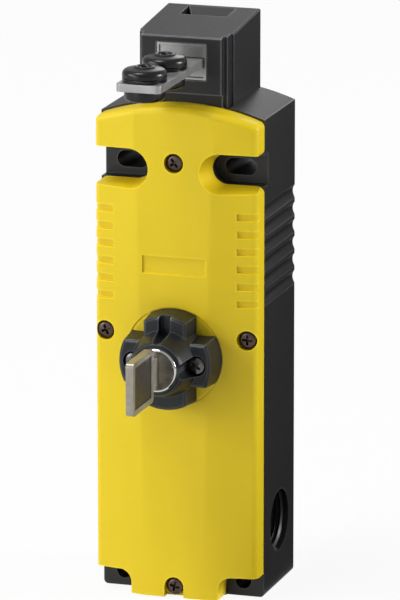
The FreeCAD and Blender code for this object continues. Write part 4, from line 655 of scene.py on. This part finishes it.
class SwitchThreads(bpy.types.Operator):
    """Threads inside the three cable entries"""

    bl_idname = "position_switch.threads"
    bl_label = "Cable Entry Threads"

    def execute(self, context):
        sizes = context.scene.switch_sizes
        pitch, depth = sizes.thread_pitch, sizes.thread_depth
        steps, crest, root = 40, 0.1 * MM, 0.42 * pitch
        for mount in frame["record"]["mounts"]:
            if mount["kind"] != "threaded_hole":
                continue
            bore = mount["dims"]["r_mm"] * MM
            turns = int(mount["dims"]["length_mm"] * MM / pitch) - 1
            bm = bmesh.new()
            profile = [(bore, -root), (bore - depth, -crest), (bore - depth, crest), (bore, root)]
            face = bm.faces.new([bm.verts.new((r, 0, h)) for r, h in profile])
            bmesh.ops.spin(
                bm, geom=[face], cent=(0, 0, 0), axis=(0, 0, 1), dvec=(0, 0, pitch / steps),
                angle=math.tau * turns, steps=steps * turns, use_merge=False,
            )
            axis = Vector(mount["axis"])
            start = bore_middle(mount) - axis * turns * pitch / 2
            turn = UP.rotation_difference(axis).to_matrix().to_4x4()
            bmesh.ops.transform(bm, matrix=Matrix.Translation(start) @ turn, verts=bm.verts)
            bmesh.ops.holes_fill(bm, edges=[e for e in bm.edges if e.is_boundary])
            bmesh.ops.recalc_face_normals(bm, faces=bm.faces)
            settle(bm, mount["name"] + "_thread", "housing", replace=False)
        return {"FINISHED"}


def bore_middle(mount):
    """Middle of a cable entry's bore, which starts at the housing's outer wall."""
    low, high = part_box("housing")
    axis, place = Vector(mount["axis"]), Vector(mount["pos_m"])
    for i in range(3):
        if abs(axis[i]) > 0.5:
            place[i] = high[i] if axis[i] > 0 else low[i]
    return place - axis * mount["dims"]["length_mm"] * MM / 2


class SwitchCoverScrews(bpy.types.Operator):
    """Cross-recess screws that hold the cover"""

    bl_idname = "position_switch.cover_screws"
    bl_label = "Cover Screws"

    def execute(self, context):
        screws = cross_screws("cover_screws", context.scene.switch_sizes, 0.4, 0.9)
        settle(screws, "cross_recess_cover_screws", "cover_screws")
        return {"FINISHED"}


class SwitchHead(bpy.types.Operator):
    """Head casing and the steel guide plate in its window"""

    bl_idname = "position_switch.head"
    bl_label = "Head"

    def execute(self, context):
        sizes = context.scene.switch_sizes
        casing = soften(merged_copy("head_casing"), sizes.moulded_edge * BROAD_EDGE)
        settle(casing, "head_moulding", "head_casing")
        settle(soften(merged_copy("guide_plate"), sizes.metal_edge), "slotted_guide_plate", "guide_plate")
        return {"FINISHED"}


def arc(radius, height, bend, start, end, steps=6):
    """(radius, height) points of a rounded corner between two angles in degrees."""
    angles = [math.radians(start + (end - start) * i / steps) for i in range(steps + 1)]
    return [(radius + bend * math.cos(a), height + bend * math.sin(a)) for a in angles]


def bush_profile(radius, low, high, plate):
    """Section of a rubber bush, with heights counted from the blade's lower face.

    From the hole outwards: a raised ring, a valley, a soft shoulder, a groove, the neck in the blade and
    the foot.
    """
    neck, bore, hole, bottom = 4.5 * MM, 2.72 * MM, 1.8 * MM, high - 1.18 * MM
    ring, ring_bend, ring_base = hole + 0.9 * MM, 0.88 * MM, high - 0.9 * MM
    valley = ring + 1.3 * MM, high - 0.6 * MM
    shoulder, shoulder_top = 1.7 * MM, high - 0.8 * MM
    groove, seam = 0.2 * MM, plate + 1.2 * MM
    foot, foot_bend = radius - 0.6 * MM, 1.2 * MM
    play, ease, chamfer = 0.01 * MM, 0.1 * MM, 0.3 * MM
    profile = [(bore, bottom), (hole, bottom), (hole, ring_base)]
    profile += arc(ring, ring_base, ring_bend, 180, 30) + [valley]
    profile += arc(radius - shoulder, shoulder_top - shoulder, shoulder, 80, 0)
    profile += [(radius, seam + groove), (radius - groove, seam), (radius, seam - groove)]
    profile += [(radius - ease, plate + 2 * play), (neck, plate + play), (neck, -play)]
    profile += [(foot - ease, -2 * play), (foot, -groove)]
    profile += arc(foot - foot_bend, low + foot_bend, foot_bend, 0, -90)
    return profile + [(bore + chamfer, low), (bore, low + chamfer)]


def sleeve_tube(low, high):
    """A bush's steel sleeve that fills a box, with chamfered ends."""
    inner, outer, half, chamfer = 2.15 * MM, (high.x - low.x) / 2, (high.z - low.z) / 2, 0.2 * MM
    profile = [(inner, chamfer - half), (inner + chamfer, -half)]
    profile += [(outer - chamfer, -half), (outer, chamfer - half)]
    profile += [(r, -h) for r, h in reversed(profile)]
    return spun(profile, (low + high) / 2, UP, steps=40)


class SwitchActuator(bpy.types.Operator):
    """Steel blade, rubber bushes and their sleeves"""

    bl_idname = "position_switch.actuator"
    bl_label = "Actuator"

    def execute(self, context):
        sizes = context.scene.switch_sizes
        strip = soften(merged_copy("actuator_blade"), sizes.metal_edge * BLADE_EDGE)
        settle(strip, "steel_blade", "actuator_blade")
        under, over = (corner.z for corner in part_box("actuator_blade"))
        for name in ("front_bush", "rear_bush"):
            low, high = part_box(name)
            profile = bush_profile((high.x - low.x) / 2, low.z - under, high.z - under, over - under)
            middle = Vector(((low.x + high.x) / 2, (low.y + high.y) / 2, under))
            settle(spun(profile, middle, UP, steps=64), name + "_rubber", name)
        sleeves = [sleeve_tube(low, high) for low, high in clusters("bush_sleeves")]
        settle(joined(sleeves), "bush_sleeve_tubes", "bush_sleeves")
        return {"FINISHED"}


class SwitchLock(bpy.types.Operator):
    """Key lock: moulded housing, screws, chromed barrel and turning cylinder"""

    bl_idname = "position_switch.lock"
    bl_label = "Key Lock"

    def execute(self, context):
        sizes = context.scene.switch_sizes
        casing = soften(merged_copy("lock_housing"), sizes.moulded_edge * BROAD_EDGE, segments=3)
        settle(casing, "lock_moulding", "lock_housing")
        settle(cross_screws("lock_screws", sizes, 0.2, 0.7), "cross_recess_lock_screws", "lock_screws")
        for name in ("lock_barrel", "lock_cylinder"):
            settle(soften(merged_copy(name), sizes.metal_edge), name + "_turned", name)
        return {"FINISHED"}


class SwitchKey(bpy.types.Operator):
    """Flat key with a rimmed bow"""

    bl_idname = "position_switch.key"
    bl_label = "Key"

    def execute(self, context):
        settle(soften(merged_copy("key"), context.scene.switch_sizes.metal_edge), "flat_key", "key")
        return {"FINISHED"}


class SwitchSpring(bpy.types.Operator):
    """Return spring, held at its upper end"""

    bl_idname = "position_switch.spring"
    bl_label = "Return Spring"

    def execute(self, context):
        joint = next(j for j in frame["record"]["behaviour"]["joints"] if j["name"] == "armature_lift")
        coil = merged_copy("return_spring")
        coil = settle(coil, "return_spring_coil", "return_spring", body=joint["parent"])
        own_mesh(coil)
        return {"FINISHED"}


def soft_light(name, place, size, watts):
    """A square studio lamp aimed at the middle of the view."""
    data = bpy.data.lights.new(name, "AREA")
    data.size, data.energy = size, watts
    lamp = bpy.data.objects.new(name, data)
    bpy.context.scene.collection.objects.link(lamp)
    lamp.location = place
    lamp.rotation_euler = (VIEW_MIDDLE - Vector(place)).to_track_quat("-Z", "Y").to_euler()


def shown_white(tree, in_gloss):
    """1 where the camera looks at a surface, straight or through glass, and a share of it in reflections."""
    path = node(tree, "ShaderNodeLightPath").outputs
    faint = node(tree, "ShaderNodeMath", {0: path["Is Glossy Ray"], 1: in_gloss}, operation="MULTIPLY")
    straight = node(
        tree, "ShaderNodeMath", {0: path["Is Camera Ray"], 1: path["Is Transmission Ray"]},
        operation="MAXIMUM",
    )
    seen = node(tree, "ShaderNodeMath", {0: straight.outputs[0], 1: faint.outputs[0]}, operation="MAXIMUM")
    return seen.outputs[0]


def backdrop_paper():
    """White paper: dull and even. It glows where the camera or a reflection sees it, and shows the shadow."""
    material, tree, shader, _ = new_material("white_backdrop_paper")
    shader.inputs["Base Color"].default_value = (*linear("#EFEFEF"), 1)
    shader.inputs["Roughness"].default_value = 0.9
    glow = node(tree, "ShaderNodeEmission", {"Color": (1, 1, 1, 1), "Strength": 1.0})
    seen = shown_white(tree, FLOOR_IN_GLOSS)
    share = node(tree, "ShaderNodeMath", {0: seen, 1: FLOOR_GLOW}, operation="MULTIPLY")
    mix = node(tree, "ShaderNodeMixShader", {0: share.outputs[0], 1: shader.outputs[0], 2: glow.outputs[0]})
    output = next(n for n in tree.nodes if n.type == "OUTPUT_MATERIAL")
    tree.links.new(mix.outputs[0], output.inputs["Surface"])
    return material


def flock_card():
    """Black flocked card: it swallows light and has no gloss."""
    material, _, shader, _ = new_material("black_flock_card")
    shader.inputs["Base Color"].default_value = (*linear("#272727"), 1)
    shader.inputs["Roughness"].default_value = 1.0
    shader.inputs["Specular IOR Level"].default_value = 0.0
    return material


class SwitchStage(bpy.types.Operator):
    """Pale floor, soft studio lamps, black flag, white surroundings and the camera"""

    bl_idname = "position_switch.stage"
    bl_label = "Stage and Camera"

    azimuth: FloatProperty(
        name="Azimuth", description="Camera's angle to the right of the front", default=math.radians(17.72),
        subtype="ANGLE", unit="ROTATION",
    )
    elevation: FloatProperty(
        name="Elevation", description="Camera's angle above the horizon", default=math.radians(13.93),
        subtype="ANGLE", unit="ROTATION",
    )
    distance: FloatProperty(
        name="Distance", description="Camera's distance from its target", default=2.0021,
        subtype="DISTANCE", unit="LENGTH",
    )
    lens: FloatProperty(
        name="Lens", description="Focal length on a 36 mm high frame", default=375.1, unit="CAMERA"
    )

    def execute(self, context):
        scene = context.scene
        self.floor()
        self.surroundings(scene)
        for lamp in LAMPS:
            soft_light(*lamp)
        self.flag()
        self.camera(scene)
        scene.view_settings.view_transform = "Standard"
        return {"FINISHED"}

    def floor(self):
        """Pale paper, four metres to each side, that the object stands on."""
        lowest = CAD_BOX[0][2]
        bm = bmesh.new()
        at_foot = Matrix.Translation((0, 0, lowest))
        bmesh.ops.create_grid(bm, x_segments=1, y_segments=1, size=4, matrix=at_foot)
        floor = placed(bm, "studio_floor")
        floor.data.materials.append(backdrop_paper())

    def flag(self):
        """Black card beside and behind the right side, to keep white out of that side's reflection."""
        beside, behind, reach, spread, top = 0.035, 0.04, 1.6, 0.8, 0.145
        (_, front, lowest), (right, back, _) = CAD_BOX
        inner, outer, near, floor = right + MM, right + beside, back + behind, lowest + 0.5 * MM
        upright = [(outer, near, floor), (outer, reach, floor), (outer, reach, top), (outer, near, top)]
        lying = [(inner, front, floor), (spread, front, floor), (spread, reach, floor), (inner, reach, floor)]
        bm = bmesh.new()
        for corners in (upright, lying):
            bm.faces.new([bm.verts.new(corner) for corner in corners])
        card = placed(bm, "black_flag")
        card.visible_camera = card.visible_shadow = card.visible_transmission = False
        card.data.materials.append(flock_card())

    def surroundings(self, scene):
        """Even faint light on the object, white where the camera looks and partly white in reflections."""
        world = bpy.data.worlds.new("studio")
        scene.world = world
        world.use_nodes = True
        tree = world.node_tree
        tree.nodes.clear()
        light = node(tree, "ShaderNodeBackground", {"Color": (1, 1, 1, 1), "Strength": WORLD_LIGHT})
        white = node(tree, "ShaderNodeBackground", {"Color": (1, 1, 1, 1), "Strength": 1.0})
        seen = shown_white(tree, WORLD_IN_GLOSS)
        mix = node(tree, "ShaderNodeMixShader", {0: seen, 1: light.outputs[0], 2: white.outputs[0]})
        output = node(tree, "ShaderNodeOutputWorld")
        tree.links.new(mix.outputs[0], output.inputs["Surface"])

    def camera(self, scene):
        """Camera at the photograph's viewing angle."""
        data = bpy.data.cameras.new("photo_camera")
        data.sensor_fit, data.sensor_height, data.lens = "VERTICAL", 36, self.lens
        data.clip_end = 50
        camera = bpy.data.objects.new("photo_camera", data)
        scene.collection.objects.link(camera)
        flat = math.cos(self.elevation)
        across, along = math.sin(self.azimuth) * flat, -math.cos(self.azimuth) * flat
        back = Vector((across, along, math.sin(self.elevation)))
        camera.location = VIEW_MIDDLE + back * self.distance
        camera.rotation_euler = (-back).to_track_quat("-Z", "Y").to_euler()
        scene.camera = camera


class SwitchPanel(bpy.types.Panel):
    """Sizes, colours and the steps that build the switch"""

    bl_idname = "VIEW3D_PT_position_switch"
    bl_label = "Position Switch"
    bl_space_type = "VIEW_3D"
    bl_region_type = "UI"
    bl_category = "Position Switch"

    def draw(self, context):
        for group in (context.scene.switch_sizes, context.scene.switch_colours):
            box = self.layout.box()
            for name in group.__annotations__:
                box.prop(group, name)
        for operator in OPERATORS:
            self.layout.operator(operator.bl_idname)


OPERATORS = (
    SwitchFinishes, SwitchEnclosure, SwitchThreads, SwitchCoverScrews, SwitchHead, SwitchActuator, SwitchLock,
    SwitchKey, SwitchSpring, SwitchStage,
)
CLASSES = (SwitchSizes, SwitchColours) + OPERATORS + (SwitchPanel,)


def register():
    for item in CLASSES:
        bpy.utils.register_class(item)
    bpy.types.Scene.switch_sizes = PointerProperty(type=SwitchSizes)
    bpy.types.Scene.switch_colours = PointerProperty(type=SwitchColours)


def unregister():
    del bpy.types.Scene.switch_colours
    del bpy.types.Scene.switch_sizes
    for item in reversed(CLASSES):
        bpy.utils.unregister_class(item)


def main():
    """Builds the whole scene."""
    register()
    for operator in OPERATORS:
        group, name = operator.bl_idname.split(".")
        getattr(getattr(bpy.ops, group), name)()


if __name__ == "__main__":
    main()
